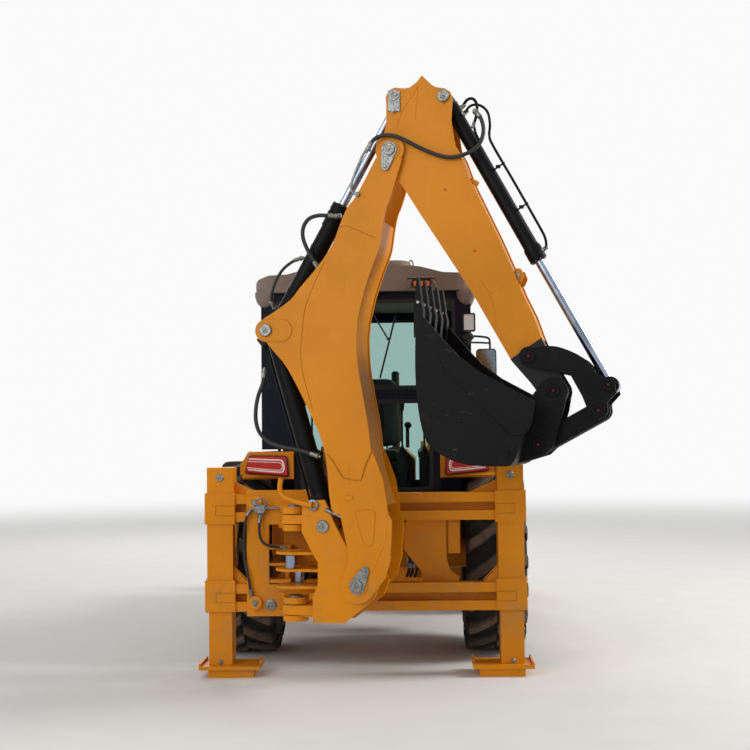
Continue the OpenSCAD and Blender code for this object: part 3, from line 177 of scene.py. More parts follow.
def joined(parts):
    """One array of points and one list of faces from many (points, faces) pairs."""
    points, faces, first = [], [], 0
    for part_points, part_faces in parts:
        part_points = np.asarray(part_points, float).reshape(-1, 3)
        points.append(part_points)
        faces += [[corner + first for corner in face] for face in part_faces]
        first += len(part_points)
    return np.concatenate(points), faces


def frame_along(path):
    """Tangents and two normals at each point of a path, turned as little as possible between points."""
    tangent = np.gradient(path, axis=0)
    tangent /= np.linalg.norm(tangent, axis=1)[:, None]
    start = np.cross(tangent[0], UP if abs(tangent[0][2]) < .9 else REACH)
    normals = [start / np.linalg.norm(start)]
    for t in tangent[1:]:
        n = normals[-1] - t * np.dot(normals[-1], t)
        normals.append(n / np.linalg.norm(n))
    normal = np.array(normals)
    return tangent, normal, np.cross(tangent, normal)


def smooth_path(points, count):
    """Points of a Catmull-Rom curve through a few given ones, spread evenly along its length."""
    p = np.asarray(points, float)
    p = np.concatenate([[2 * p[0] - p[1]], p, [2 * p[-1] - p[-2]]])
    t = np.linspace(0, 1, 24, endpoint=False)[:, None]
    pieces = []
    for a, b, c, d in zip(p, p[1:], p[2:], p[3:]):
        pieces.append(.5 * (2 * b + (c - a) * t + (2 * a - 5 * b + 4 * c - d) * t ** 2
                             + (3 * b - 3 * c + d - a) * t ** 3))
    curve = np.concatenate(pieces + [p[-2:-1]])
    return straight_path(curve, count)


def length_of(path):
    """Length along a path."""
    return float(np.linalg.norm(np.diff(path, axis=0), axis=1).sum())


def straight_path(points, count):
    """Points spread evenly along straight lines between the given ones."""
    points = np.asarray(points, float)
    steps = np.concatenate([[0], np.cumsum(np.linalg.norm(np.diff(points, axis=0), axis=1))])
    even = np.linspace(0, steps[-1], count)
    return np.stack([np.interp(even, steps, points[:, k]) for k in range(3)], 1)


def tube(path, radius, sides=14):
    """A round bar along a path: each ring is path + radius (cos a, sin a) across it; both ends are closed."""
    path = np.asarray(path, float)
    _, across, over = frame_along(path)
    a = np.linspace(0, 2 * np.pi, sides, endpoint=False)
    radius = np.broadcast_to(np.asarray(radius, float), (len(path),))[:, None, None]
    rings = path[:, None] + radius * (np.cos(a)[None, :, None] * across[:, None]
                                      + np.sin(a)[None, :, None] * over[:, None])
    last = (len(path) - 1) * sides
    ends = [list(range(sides))[::-1], [last + k for k in range(sides)]]
    return rings, grid_faces(len(path), sides, wrap_columns=True) + ends


def revolved(profile, centre, axis, steps=48):
    """A profile of (distance along the axis, radius) turned round the axis; a zero radius closes it."""
    profile = np.asarray(profile, float)
    axis = np.asarray(axis, float) / np.linalg.norm(axis)
    across = np.cross(axis, UP if abs(axis[2]) < .9 else REACH)
    across /= np.linalg.norm(across)
    over = np.cross(axis, across)
    a = np.linspace(0, 2 * np.pi, steps, endpoint=False)
    spin = np.cos(a)[:, None] * across + np.sin(a)[:, None] * over
    points = np.asarray(centre) + profile[:, None, :1] * axis + profile[:, None, 1:] * spin[None]
    return points, grid_faces(len(profile), steps, wrap_columns=True)


def drum(profile, at, axis, steps):
    """A solid turned about an axis, closed flat at both ends of its profile of (distance, radius)."""
    return revolved([(profile[0][0], 0), *profile, (profile[-1][0], 0)], at, axis, steps)


def box_solid(lowest, highest):
    """The eight corners and six faces of an upright box."""
    x, y, z = np.meshgrid(*[[lowest[k], highest[k]] for k in range(3)], indexing="ij")
    points = np.stack([x.ravel(), y.ravel(), z.ravel()], 1)
    return points, [[0, 1, 3, 2], [4, 6, 7, 5], [0, 4, 5, 1], [2, 3, 7, 6], [0, 2, 6, 4], [1, 5, 7, 3]]


def slab(outline, at, across, over, thick, chamfer=.002):
    """A flat outline carried square to itself: ring k is the outline, drawn in by the chamfer at both faces."""
    outline = np.asarray(outline, float)
    x, y = outline.T
    if np.sum(x * np.roll(y, -1) - np.roll(x, -1) * y) < 0:
        outline = outline[::-1]
    edge = np.roll(outline, -1, 0) - outline
    out = np.stack([edge[:, 1], -edge[:, 0]], 1) / np.linalg.norm(edge, axis=1)[:, None]
    before = np.roll(out, 1, 0)
    inner = outline - chamfer * (out + before) / np.maximum(1 + np.sum(out * before, 1), .3)[:, None]
    across, over = np.asarray(across, float), np.asarray(over, float)
    away = np.cross(across, over)
    rings = []
    for ring, h in ((inner, 0.0), (outline, chamfer), (outline, thick - chamfer), (inner, thick)):
        rings.append(np.asarray(at) + ring[:, :1] * across + ring[:, 1:] * over + h * away)
    n = len(outline)
    faces = grid_faces(4, n, wrap_columns=True)
    faces += [list(range(n))[::-1], [3 * n + k for k in range(n)]]
    return np.array(rings), faces


def rounded(half_wide, half_high, radius, steps=5):
    """Outline of a rectangle about the middle whose corners are quarter circles."""
    a = np.linspace(0, np.pi / 2, steps)
    corner = np.stack([np.cos(a), np.sin(a)], 1) * radius
    parts = []
    for k, (sx, sy) in enumerate(((1, 1), (-1, 1), (-1, -1), (1, -1))):
        c, s = np.cos(k * np.pi / 2), np.sin(k * np.pi / 2)
        parts.append(corner @ [[c, s], [-s, c]] + [sx * (half_wide - radius), sy * (half_high - radius)])
    return np.concatenate(parts)


def surround(outline, at, across, over, wide, thick):
    """A flat ring along an outline: outer edge, front, inner edge and back, each a ring of the grid."""
    outline = np.asarray(outline, float)
    middle_of = outline.mean(0)
    inward = 1 - wide / np.maximum(np.abs(outline - middle_of).max(0), 1e-6)
    inner = middle_of + (outline - middle_of) * inward
    across, over = np.asarray(across, float), np.asarray(over, float)
    away = np.cross(across, over)
    rings = [np.asarray(at) + ring[:, :1] * across + ring[:, 1:] * over + h * away
             for ring, h in ((outline, 0), (outline, thick), (inner, thick), (inner, 0))]
    return np.array(rings), grid_faces(4, len(outline), wrap_rows=True, wrap_columns=True)


def softened(outline, radius, steps=4):
    """The outline with each corner turned into a short curve (1-t)^2 a + 2t(1-t) corner + t^2 b."""
    p = np.asarray(outline, float)
    back, ahead = np.roll(p, 1, 0) - p, np.roll(p, -1, 0) - p
    back_len, ahead_len = np.linalg.norm(back, axis=1)[:, None], np.linalg.norm(ahead, axis=1)[:, None]
    a = p + back / back_len * np.minimum(radius, .45 * back_len)
    b = p + ahead / ahead_len * np.minimum(radius, .45 * ahead_len)
    t = np.linspace(0, 1, steps)[None, :, None]
    return ((1 - t) ** 2 * a[:, None] + 2 * t * (1 - t) * p[:, None] + t ** 2 * b[:, None]).reshape(-1, 2)


def panel(outline, place, facing, thick, chamfer=.002):
    """A plate that faces the rear, the front, the right or up, its outline given about a place on the machine."""
    return slab(outline, on_machine(*place), *facing, thick, chamfer)


def tile(sizes, place, facing, thick, chamfer=.002):
    """A plate with round corners: half width, half height and corner radius."""
    return panel(rounded(*sizes), place, facing, thick, chamfer)


def path_of(points, count, place=on_machine):
    """Smooth path through points measured on the machine or on the arm."""
    return smooth_path([place(*point) for point in points], count)


def pipe(points, count, radius, sides=14, place=on_machine):
    """A round bar along the smooth path through a few points."""
    return tube(path_of(points, count, place), radius, sides)


def bar_between(start, end, radius, sides=12):
    """A straight round bar between two points."""
    return tube(np.linspace(start, end, 3), radius, sides)


def bolt_head(at, axis, size):
    """Washer and chamfered hexagon, each a short profile turned about the axis; size is half across the corners."""
    washer = drum([(0, 1.4 * size), (.22 * size, 1.4 * size)], at, axis, 14)
    head = drum([(.2 * size, size), (.8 * size, size), (.95 * size, .84 * size)], at, axis, 6)
    return joined([washer, head])


def pin_head(at, axis, radius, stand):
    """End of a pin: a low drum with a chamfer, a turned dimple and a small nipple in its middle."""
    return joined([
        drum([(-.003, radius), (stand - .003, radius), (stand, radius - .003),
              (stand, .42 * radius), (stand - .003, .36 * radius)], at, axis, 32),
        revolved([(stand - .004, 0), (stand - .004, .006), (stand + .003, .006), (stand + .005, .0035),
                  (stand + .01, .0045), (stand + .012, 0)], at, axis, 10)])


def drop_plate(start, end, wide_start, wide_end, steps=9):
    """Outline of a keeper plate: two round ends of different radius joined by straight sides."""
    start, end = np.asarray(start, float), np.asarray(end, float)
    heading = math.atan2(*(end - start)[::-1])
    a = np.linspace(np.pi / 2, 3 * np.pi / 2, steps) + heading
    b = np.linspace(-np.pi / 2, np.pi / 2, steps) + heading
    return np.concatenate([start + wide_start * np.stack([np.cos(a), np.sin(a)], 1),
                           end + wide_end * np.stack([np.cos(b), np.sin(b)], 1)])


def weld_bead(path, radius=.005):
    """A bar along a path whose radius ripples like a run of weld: r (1 + 0.16 sin of the distance)."""
    path = np.asarray(path, float)
    even = straight_path(path, max(8, int(length_of(path) / .006)))
    ripple = 1 + .16 * np.sin(np.arange(len(even)) * 2.1)
    return tube(even, radius * ripple, 6)


def mirrored(part):
    """The same surface on the machine's other side, its faces turned so that they still point out."""
    points, faces = part
    points = np.asarray(points, float).reshape(-1, 3) * [-1, 1, 1] + [2 * AXLE[0], 0, 0]
    return points, [list(face)[::-1] for face in faces]


def both_sides(parts):
    """Parts of the machine's right side and their mirror images."""
    return list(parts) + [mirrored(part) for part in parts]


def on_hand(parts, hand):
    """Parts of the machine's right side, or their mirror images for the left."""
    return parts if hand == "right" else [mirrored(part) for part in parts]


def arm_plate(outline, side, thick, chamfer=.002):
    """A plate in the digging arm's plane, from one distance off it outwards."""
    return slab(outline, on_arm(0, 0, side), REACH, UP, thick, chamfer)


def arm_plates(outline, side, thick, chamfer=.002):
    """The same plate on both faces of the digging arm."""
    return [arm_plate(outline, side, thick, chamfer), arm_plate(outline, -side - thick, thick, chamfer)]


def arm_welds(route, side, radius=.003):
    """The same weld run on both faces of the digging arm, through points of reach and height."""
    return [weld_bead([on_arm(e, z, hand * side) for e, z in route], radius) for hand in (1, -1)]


def machine_weld(radius, *points):
    """A weld run through points of the machine."""
    return weld_bead([on_machine(*point) for point in points], radius)


# Shader maths

class Signal:
    """A socket of a node tree, so that maths on it is written as arithmetic."""

    def __init__(self, nodes, socket):
        self.nodes = nodes
        self.socket = socket

    def math(self, operation, *values):
        return self.nodes.node("ShaderNodeMath", {"operation": operation}, list(values))

    def __add__(self, other):
        return self.math("ADD", self, other)

    def __radd__(self, other):
        return self.math("ADD", other, self)

    def __sub__(self, other):
        return self.math("SUBTRACT", self, other)

    def __rsub__(self, other):
        return self.math("SUBTRACT", other, self)

    def __mul__(self, other):
        return self.math("MULTIPLY", self, other)

    def __rmul__(self, other):
        return self.math("MULTIPLY", other, self)

    def above(self, start, end):
        """0 below start, 1 above end, and a smooth step between them."""
        ramp = {"interpolation_type": "SMOOTHSTEP", "clamp": True}
        return self.nodes.node("ShaderNodeMapRange", ramp, {"Value": self, "From Min": start, "From Max": end})


class Nodes:
    """A node tree under construction, of a material or of the world."""

    def __init__(self, tree):
        self.tree = tree

    def node(self, kind, settings=None, values=None, output=0):
        """Adds any node: its settings first, then values or signals into its sockets."""
        made = self.tree.nodes.new(kind)
        for name, value in (settings or {}).items():
            setattr(made, name, value)
        pairs = values.items() if isinstance(values, dict) else enumerate(values or [])
        for key, value in pairs:
            self.feed(made.inputs[key], value)
        return Signal(self, made.outputs[output])

    def feed(self, socket, value):
        """Links a signal to a socket, or sets the socket to a value."""
        if isinstance(value, Signal):
            self.tree.links.new(value.socket, socket)
        elif hasattr(socket.default_value, "__len__") and hasattr(value, "__len__"):
            value = tuple(value)
            socket.default_value = value + (1.0,) * (len(socket.default_value) - len(value))
        else:
            socket.default_value = value

    def seen(self):
        """1 on rays that an eye, a mirror or a pane sends out, and 0 on the rest."""
        rays = self.tree.nodes.new("ShaderNodeLightPath")
        eye, mirror, pane = (Signal(self, rays.outputs[f"Is {kind} Ray"])
                             for kind in ("Camera", "Glossy", "Transmission"))
        return (eye + mirror + pane).above(0.0, .5)


class Shader(Nodes):
    """A material under construction: one Principled shader and the nodes that feed it."""

    def __init__(self, name, **fixed):
        self.material = bpy.data.materials.new(name)
        self.material.use_nodes = True
        super().__init__(self.material.node_tree)
        self.surface = self.tree.nodes["Principled BSDF"]
        self.where = self.node("ShaderNodeTexCoord", output="Object")
        for socket, value in fixed.items():
            self.surface.inputs[socket.replace("_", " ")].default_value = value

    def noise(self, scale, detail=3.0, rough=.5, where=None):
        """Soft random pattern between 0 and 1, with scale in features per metre."""
        values = {"Vector": where or self.where, "Scale": scale, "Detail": detail, "Roughness": rough}
        return self.node("ShaderNodeTexNoise", None, values)

    def stretched(self, scale):
        """Object coordinates scaled by a different factor along each axis."""
        return self.node("ShaderNodeMapping", None, {"Vector": self.where, "Scale": scale})

    def blend(self, factor, first, second):
        """Colour that goes from first to second as factor goes from 0 to 1."""
        return self.node("ShaderNodeMix", {"data_type": "RGBA"}, {0: factor, 6: first, 7: second}, output=2)

    def vectors(self, operation, *values):
        """A number from vectors, such as a length or a dot product."""
        return self.node("ShaderNodeVectorMath", {"operation": operation}, list(values), output=1)

    def height(self):
        """Distance above the ground, in metres."""
        return self.node("ShaderNodeSeparateXYZ", None, [self.where], output=2)

    def set(self, socket, value):
        """Feeds one of the Principled shader's sockets."""
        self.feed(self.surface.inputs[socket], value)

    def finish(self, colour, roughness, bump=None, distance=.001, strength=.5):
        """The finished material, from its colour, roughness and height pattern, distance in metres."""
        self.set("Base Color", colour)
        self.set("Roughness", roughness)
        if bump:
            values = {"Height": bump, "Distance": distance, "Strength": strength}
            self.set("Normal", self.node("ShaderNodeBump", None, values))
        return self.material


def linear(red, green, blue):
    """Scene colour of an 8-bit display colour."""
    c = np.array([red, green, blue]) / 255
    return tuple(np.where(c <= .04045, c / 12.92, ((c + .055) / 1.055) ** 2.4).tolist())


# Finishes

BLACK = linear(17, 17, 18)


def settings():
    """The add-on's values in this scene."""
    return bpy.context.scene.backhoe


def toned(colour, factor, lift=0.0):
    """The colour made darker or paler."""
    return tuple(min(1, c * factor + lift) for c in colour)


def paint(name, colour, worn, dust, roughness=.38, dipped=None):
    """Sprayed enamel: slow tone changes, dull dusty bands near the ground, fine scratches and chips.

    dipped gives a point, a direction and a distance: from there on the paint is black.
    """
    s = Shader(name, Specular_IOR_Level=.08 if max(colour) < .02 else .2)
    shade = s.blend(s.noise(1.3, 4).above(.35, .7), colour, toned(colour, .86))
    shade = s.blend(s.noise(7, 5, .6).above(.52, .75) * .35, shade, toned(colour, 1.1, .01))
    if dipped:
        start, heading, distance = dipped
        gap = s.node("ShaderNodeVectorMath", {"operation": "SUBTRACT"}, [s.where, tuple(start)])
        along = s.vectors("DOT_PRODUCT", gap, tuple(heading))
        shade = s.blend(along.above(distance - .001, distance + .001), shade, BLACK)
    grime = s.noise(3.5, 6, .65)
    settled = (1.0 - s.height().above(.15, 1.5)) * grime.above(.42, .75) * (.55 * dust)
    streaks = s.noise(30, 3, .6, s.stretched((1, 1, .05))).above(.55, .75) * grime.above(.45, .65)
    shade = s.blend(settled, shade, linear(132, 112, 84))
    shade = s.blend(streaks * (.25 * dust), shade, linear(84, 66, 42))
    scratches = s.noise(55, 4, .7, s.stretched((1, .12, .6))).above(.5, .8)
    chips = s.noise(38, 6, .75).above(.73, .76) * s.noise(4, 3).above(.55, .68) * worn
    peel = s.noise(420, 2) * .25
    return s.finish(s.blend(chips, shade, linear(70, 58, 48)),
                    roughness + settled * .4 + scratches * .12 + chips * .25,
                    peel + (1.0 - chips) * .6 + settled * .4, .0006)


def yellow(name, factor=1.0, worn=.8, dipped=None):
    """Construction yellow of the frames, arms and bodywork, at a share of its tone; a share below one gives painted
    shade.
    """
    return paint(name, toned(settings().paint_colour, factor), worn, .8, dipped=dipped)


def dipper_paint():
    """The dipper's yellow, which ends in black paint before its tip."""
    start, end = on_arm(*PINS["top"]), on_arm(*PINS["bucket"])
    return yellow("dipper_enamel", dipped=(start, (end - start) / np.linalg.norm(end - start), 1.532))


def dug_paint():
    """Black enamel of the digging bucket, scoured to bare steel in streaks."""
    s = Shader("scoured_black_enamel", Specular_IOR_Level=.08)
    along = s.noise(24, 6, .7, s.stretched((.35, .35, 1)))
    worn = along.above(.6, .72) * s.noise(3, 4).above(.42, .62)
    earth = s.noise(9, 6, .7).above(.55, .8) * .12
    shade = s.blend(s.noise(2, 3), linear(15, 15, 16), linear(26, 25, 25))
    shade = s.blend(worn * .35, shade, linear(120, 112, 104))
    s.set("Metallic", worn * .4)
    return s.finish(s.blend(earth, shade, linear(96, 80, 60)), .46 - worn * .1 + earth * .35,
                    along * .6 + s.noise(160, 3) * .3, .0009)


def moulded(name, colour, roughness=.55):
    """Moulded plastic with a fine pebble grain and slight sun fading."""
    s = Shader(name, Specular_IOR_Level=.25)
    return s.finish(s.blend(s.noise(2.2, 4).above(.3, .8), colour, toned(colour, 1.25, .004)),
                    roughness + s.noise(12, 4) * .12, s.noise(900, 2), .0004, .6)


def metal(name, metallic, pattern, edges, first, second, roughness, bump):
    """Mottled metal: one pattern mixes two colours and sets the roughness; bump is a pattern, depth and strength.

    A pattern is noise of a scale, detail and roughness, and the factors that stretch it.
    """
    s = Shader(name, Metallic=metallic)

    def cloud(scale, detail, rough=.5, stretch=None):
        return s.noise(scale, detail, rough, s.stretched(stretch) if stretch else None)
    mottle = cloud(*pattern)
    relief, depth, strength = bump
    return s.finish(s.blend(mottle.above(*edges), first, second), roughness[0] + mottle * roughness[1],
                    cloud(*relief) if relief else mottle, depth, strength)


def cast_metal():
    """Dark oily cast iron of the engine block and gearbox."""
    s = Shader("cast_iron", Metallic=.35)
    pits = s.noise(130, 4, .6)
    return s.finish(s.blend(s.noise(6, 5).above(.4, .7), linear(62, 60, 58), linear(40, 37, 34)), .55 + pits * .2,
                    pits, .0012, .7)


def tyre_rubber():
    """Tyre rubber: black, greyed by dust; the lugs' outer faces are the palest, by their attribute."""
    s = Shader("tyre_rubber", Specular_IOR_Level=.25)
    tread = s.node("ShaderNodeAttribute", {"attribute_name": "tread"}, [], output=2)
    dust = s.noise(5, 6, .65).above(.35, .75)
    fine = s.noise(60, 5, .6)
    shade = s.blend(dust * .5, linear(22, 22, 23), linear(66, 61, 55))
    shade = s.blend(tread * (.35 + dust * .5), shade, linear(122, 106, 92))
    return s.finish(s.blend(fine.above(.6, .8) * .3, shade, linear(96, 88, 78)), .72 + fine * .16,
                    fine * .6 + s.noise(400, 2) * .3, .0012, .6)


def hose_rubber():
    """Rubber hose with a cloth-marked cover."""
    s = Shader("hose_rubber", Specular_IOR_Level=.4)
    weave = s.noise(700, 2)
    return s.finish(s.blend(s.noise(9, 4), linear(22, 22, 23), linear(44, 42, 40)), .5 + weave * .15,
                    weave, .0005, .6)


def window_glass():
    """Tinted glass with a faint film of dust."""
    s = Shader("tinted_glass", Transmission_Weight=1.0, IOR=1.05)
    return s.finish(linear(196, 216, 212), .02 + s.noise(3, 5).above(.4, .8) * .05)


def mirror_silver():
    """Mirror glass with a faint film."""
    s = Shader("mirror_silver", Metallic=1.0)
    return s.finish(linear(112, 124, 130), .06 + s.noise(14, 4) * .06)


def lens(name, colour):
    """Ribbed coloured lamp lens."""
    s = Shader(name, Specular_IOR_Level=.35)
    ribs = s.node("ShaderNodeTexWave", {"wave_type": "BANDS", "bands_direction": "X"},
                  {"Vector": s.where, "Scale": 28.0, "Distortion": 0.0})
    return s.finish(s.blend(s.noise(20, 2) * .4, colour, toned(colour, .7)), .18, ribs, .001, .35)


def seat_vinyl():
    """Black vinyl of the seat, with a fine leather grain."""
    s = Shader("seat_vinyl", Specular_IOR_Level=.45)
    cell = s.node("ShaderNodeTexVoronoi", {"feature": "DISTANCE_TO_EDGE"}, {"Vector": s.where, "Scale": 420.0})
    return s.finish(s.blend(s.noise(8, 3), linear(30, 30, 32), linear(44, 43, 44)), .5 + s.noise(40, 3) * .15,
                    cell.above(0.0, .12), .0008)


# Each finish: the slot of the record that it stands for, the function that makes it and that function's values
FINISHES = {
    "yellow_paint": ("yellow_paint", yellow, "yellow_enamel"),
    # Yellow at a lower tone: painted shade along weld runs and pressed edges, and round the dipper's plugs
    "seam_paint": ("yellow_paint", yellow, "seam_enamel", .62, .3),
    "dipper_paint": ("yellow_paint", dipper_paint),
    "black_paint": ("black_paint", paint, "black_enamel", BLACK, .5, .4, .4),
    "dug_paint": ("black_paint", dug_paint),
    "cab_paint": ("cab_paint", paint, "cab_enamel", linear(22, 26, 35), .2, .3, .3),
    "roof_plastic": ("roof_plastic", moulded, "roof_moulding", linear(118, 104, 95)),
    "trim_plastic": ("trim_plastic", moulded, "black_moulding", linear(30, 30, 32), .5),
    "white_plastic": ("trim_plastic", moulded, "white_moulding", linear(226, 224, 214), .35),
    "grease_red": ("trim_plastic", moulded, "red_caps", linear(176, 28, 22), .4),
    # Piston rods, with faint turning rings and an oily bloom
    "chrome": ("chrome", metal, "hard_chrome", 1.0, (6, 4), (.45, .7), linear(148, 158, 178),
               linear(116, 124, 142), (.09, .12), ((220, 2, .5, (1, 1, 1)), .0001, .15)),
    # Pins, keeper plates, nuts and fittings
    "zinc": ("chrome", metal, "zinc_plate", .9, (70, 5, .6), (.35, .7), linear(138, 140, 137),
             linear(98, 97, 92), (.3, .25), (None, .0004, .4)),
    # Cutting edges and tooth points rubbed bright by soil, brown in the hollows
    "bare_steel": ("chrome", metal, "rubbed_steel", .85, (30, 5, .65, (1, 1, .4)), (.4, .7),
                   linear(150, 146, 140), linear(96, 78, 62), (.32, .35), (None, .0008, .5)),
    "rusty_pipe": ("black_paint", metal, "heat_browned_steel", .5, (11, 6, .65), (.4, .65),
                   linear(58, 50, 45), linear(104, 66, 42), (.55, .3), ((120, 4), .0006, .5)),
    "engine_grey": ("engine_grey", cast_metal),
    "mirror_silver": ("chrome", mirror_silver),
    "tyre_rubber": ("tyre_rubber", tyre_rubber),
    "hose_rubber": ("hose_rubber", hose_rubber),
    "window_glass": ("window_glass", window_glass),
    "lamp_lens": ("lamp_lens", lens, "lamp_lens", linear(196, 12, 20)),
    "red_lens": ("lamp_lens", lens, "red_lens", linear(196, 12, 20)),
    "amber_lens": ("lamp_lens", lens, "amber_lens", linear(226, 116, 14)),
    "clear_lens": ("lamp_lens", lens, "clear_lens", linear(222, 224, 222)),
    "seat_vinyl": ("seat_vinyl", seat_vinyl),
}
OWN_FINISH = {"backhoe_bucket": "dug_paint", "stacks": "rusty_pipe", "dipper": "dipper_paint"}
MATERIALS = {}


def finish_named(name):
    """The material of a finish, made once."""
    if name not in MATERIALS:
        maker, *values = FINISHES[name][1:]
        MATERIALS[name] = maker(*values)
    return MATERIALS[name]


def fitted(name, parts, finish, body="machine"):
    """One object from surfaces, with its finish and slot, riding on a body when one is given."""
    piece = mesh_object(name, *joined(parts))
    piece.data.materials.append(finish_named(finish))
    if body:
        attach(piece, body)
    return piece


class BackhoeSettings(bpy.types.PropertyGroup):
    """Sizes and colours that a user would change."""

    paint_colour: bpy.props.FloatVectorProperty(
        name="Paint", description="Colour of the bodywork", subtype="COLOR", size=3, min=0, max=1,
        default=linear(217, 134, 6))
    lens_mm: bpy.props.FloatProperty(
        name="Lens", description="Focal length of the camera", default=59.6, min=20, max=200, unit="CAMERA")
    floor_half: bpy.props.FloatProperty(
        name="Floor", description="Half width of the floor", default=60.0, unit="LENGTH")
    rear_lugs: bpy.props.IntProperty(
        name="Rear lugs", description="Lugs in one row of a rear tyre", default=19, min=12, max=30)
    front_lugs: bpy.props.IntProperty(
        name="Front lugs", description="Lugs in one row of a front tyre", default=17, min=12, max=30)
    lug_height: bpy.props.FloatProperty(
        name="Lug height", description="Height of a lug over the tyre's body", default=.032, unit="LENGTH")
    hose_radius: bpy.props.FloatProperty(
        name="Hose radius", description="Radius of the arm's hoses", default=.013, unit="LENGTH")


class BACKHOE_OT_studio(bpy.types.Operator):
    """Floor, backdrop colour and soft lamps"""
    bl_idname = "backhoe.studio"
    bl_label = "Studio"

    WHITE = linear(250, 250, 250)
    # Lamps: place, size in metres, power in watts and the place that they point at
    LAMPS = {"key_lamp": ((11, -1.5, 8), 4, 1250, (0, -1, 1.8)),
             "fill_lamp": ((-7, -11, 6), 8, 520, (0, -1, 1.5)),
             "back_lamp": ((-3, 10, 8), 6, 500, (0, 0, 1.5))}

    def execute(self, context):
        half = settings().floor_half
        floor = mesh_object("studio_floor", *box_solid((-half, -half, -.05), (half, half, 0.0)), smooth=False)
        s = Shader("studio_floor_paint", Specular_IOR_Level=.1)
        grain = s.noise(3, 5)
        s.finish(s.blend(grain, linear(222, 220, 216), linear(214, 212, 207)), .85 + grain * .1)
        # Far from the machine the floor goes over into the backdrop's white, for what the eye or a mirror sees
        far = s.vectors("LENGTH", s.where).above(6.0, 26.0)
        glow = s.node("ShaderNodeEmission", None, {"Color": self.WHITE, "Strength": 1.0})
        mixed = s.node("ShaderNodeMixShader", None, [far * s.seen(), Signal(s, s.surface.outputs[0]), glow])
        s.feed(s.tree.nodes["Material Output"].inputs["Surface"], mixed)
        floor.data.materials.append(s.material)
        # The sky lights the machine dimly, and shows white itself
        world = context.scene.world or bpy.data.worlds.new("studio_sky")
        context.scene.world = world
        world.use_nodes = True
        sky = Nodes(world.node_tree)
        dim = sky.tree.nodes["Background"]
        sky.feed(dim.inputs["Color"], linear(226, 228, 230))
        sky.feed(dim.inputs["Strength"], .62)
        white = sky.node("ShaderNodeBackground", None, {"Color": self.WHITE})
        mixed = sky.node("ShaderNodeMixShader", None, [sky.seen(), Signal(sky, dim.outputs[0]), white])
        sky.feed(sky.tree.nodes["World Output"].inputs["Surface"], mixed)
        for name, (place, size, power, target) in self.LAMPS.items():
            data = bpy.data.lights.new(name, "AREA")
            data.size = size
            data.energy = power
            lamp = bpy.data.objects.new(name, data)
            lamp.location = place
            lamp.rotation_euler = (Vector(target) - Vector(place)).to_track_quat("-Z", "Y").to_euler()
            context.scene.collection.objects.link(lamp)
        context.scene.view_settings.view_transform = "Standard"
        return {"FINISHED"}


class BACKHOE_OT_camera(bpy.types.Operator):
    """Camera at the photograph's angle, behind the machine and a little to its right"""
    bl_idname = "backhoe.camera"
    bl_label = "Camera"

    # Place from the swing axis and the rear wheel's hub in metres, and turns in radians
    STAND = (.8213, -9.5021, 1.5771)
    YAW, PITCH, ROLL = .0358, .0526, -.0114

    def execute(self, context):
        place = [SWING[0], place_of("wheel_rear_right_spin")[1], 0] + np.array(self.STAND)
        level = math.cos(self.PITCH)
        forward = Vector((-math.sin(self.YAW) * level, math.cos(self.YAW) * level, math.sin(self.PITCH)))
        right = forward.cross(Vector(UP)).normalized()
        over = right.cross(forward)
        c, s = math.cos(self.ROLL), math.sin(self.ROLL)
        right, over = right * c + over * s, over * c - right * s
        data = bpy.data.cameras.new("photo_camera")
        data.lens = settings().lens_mm
        data.clip_end = 400
        camera = bpy.data.objects.new("photo_camera", data)
        camera.matrix_world = Matrix.Translation(Vector(place)) @ Matrix((right, over, -forward)).transposed().to_4x4()
        context.scene.collection.objects.link(camera)
        context.scene.camera = camera
        return {"FINISHED"}


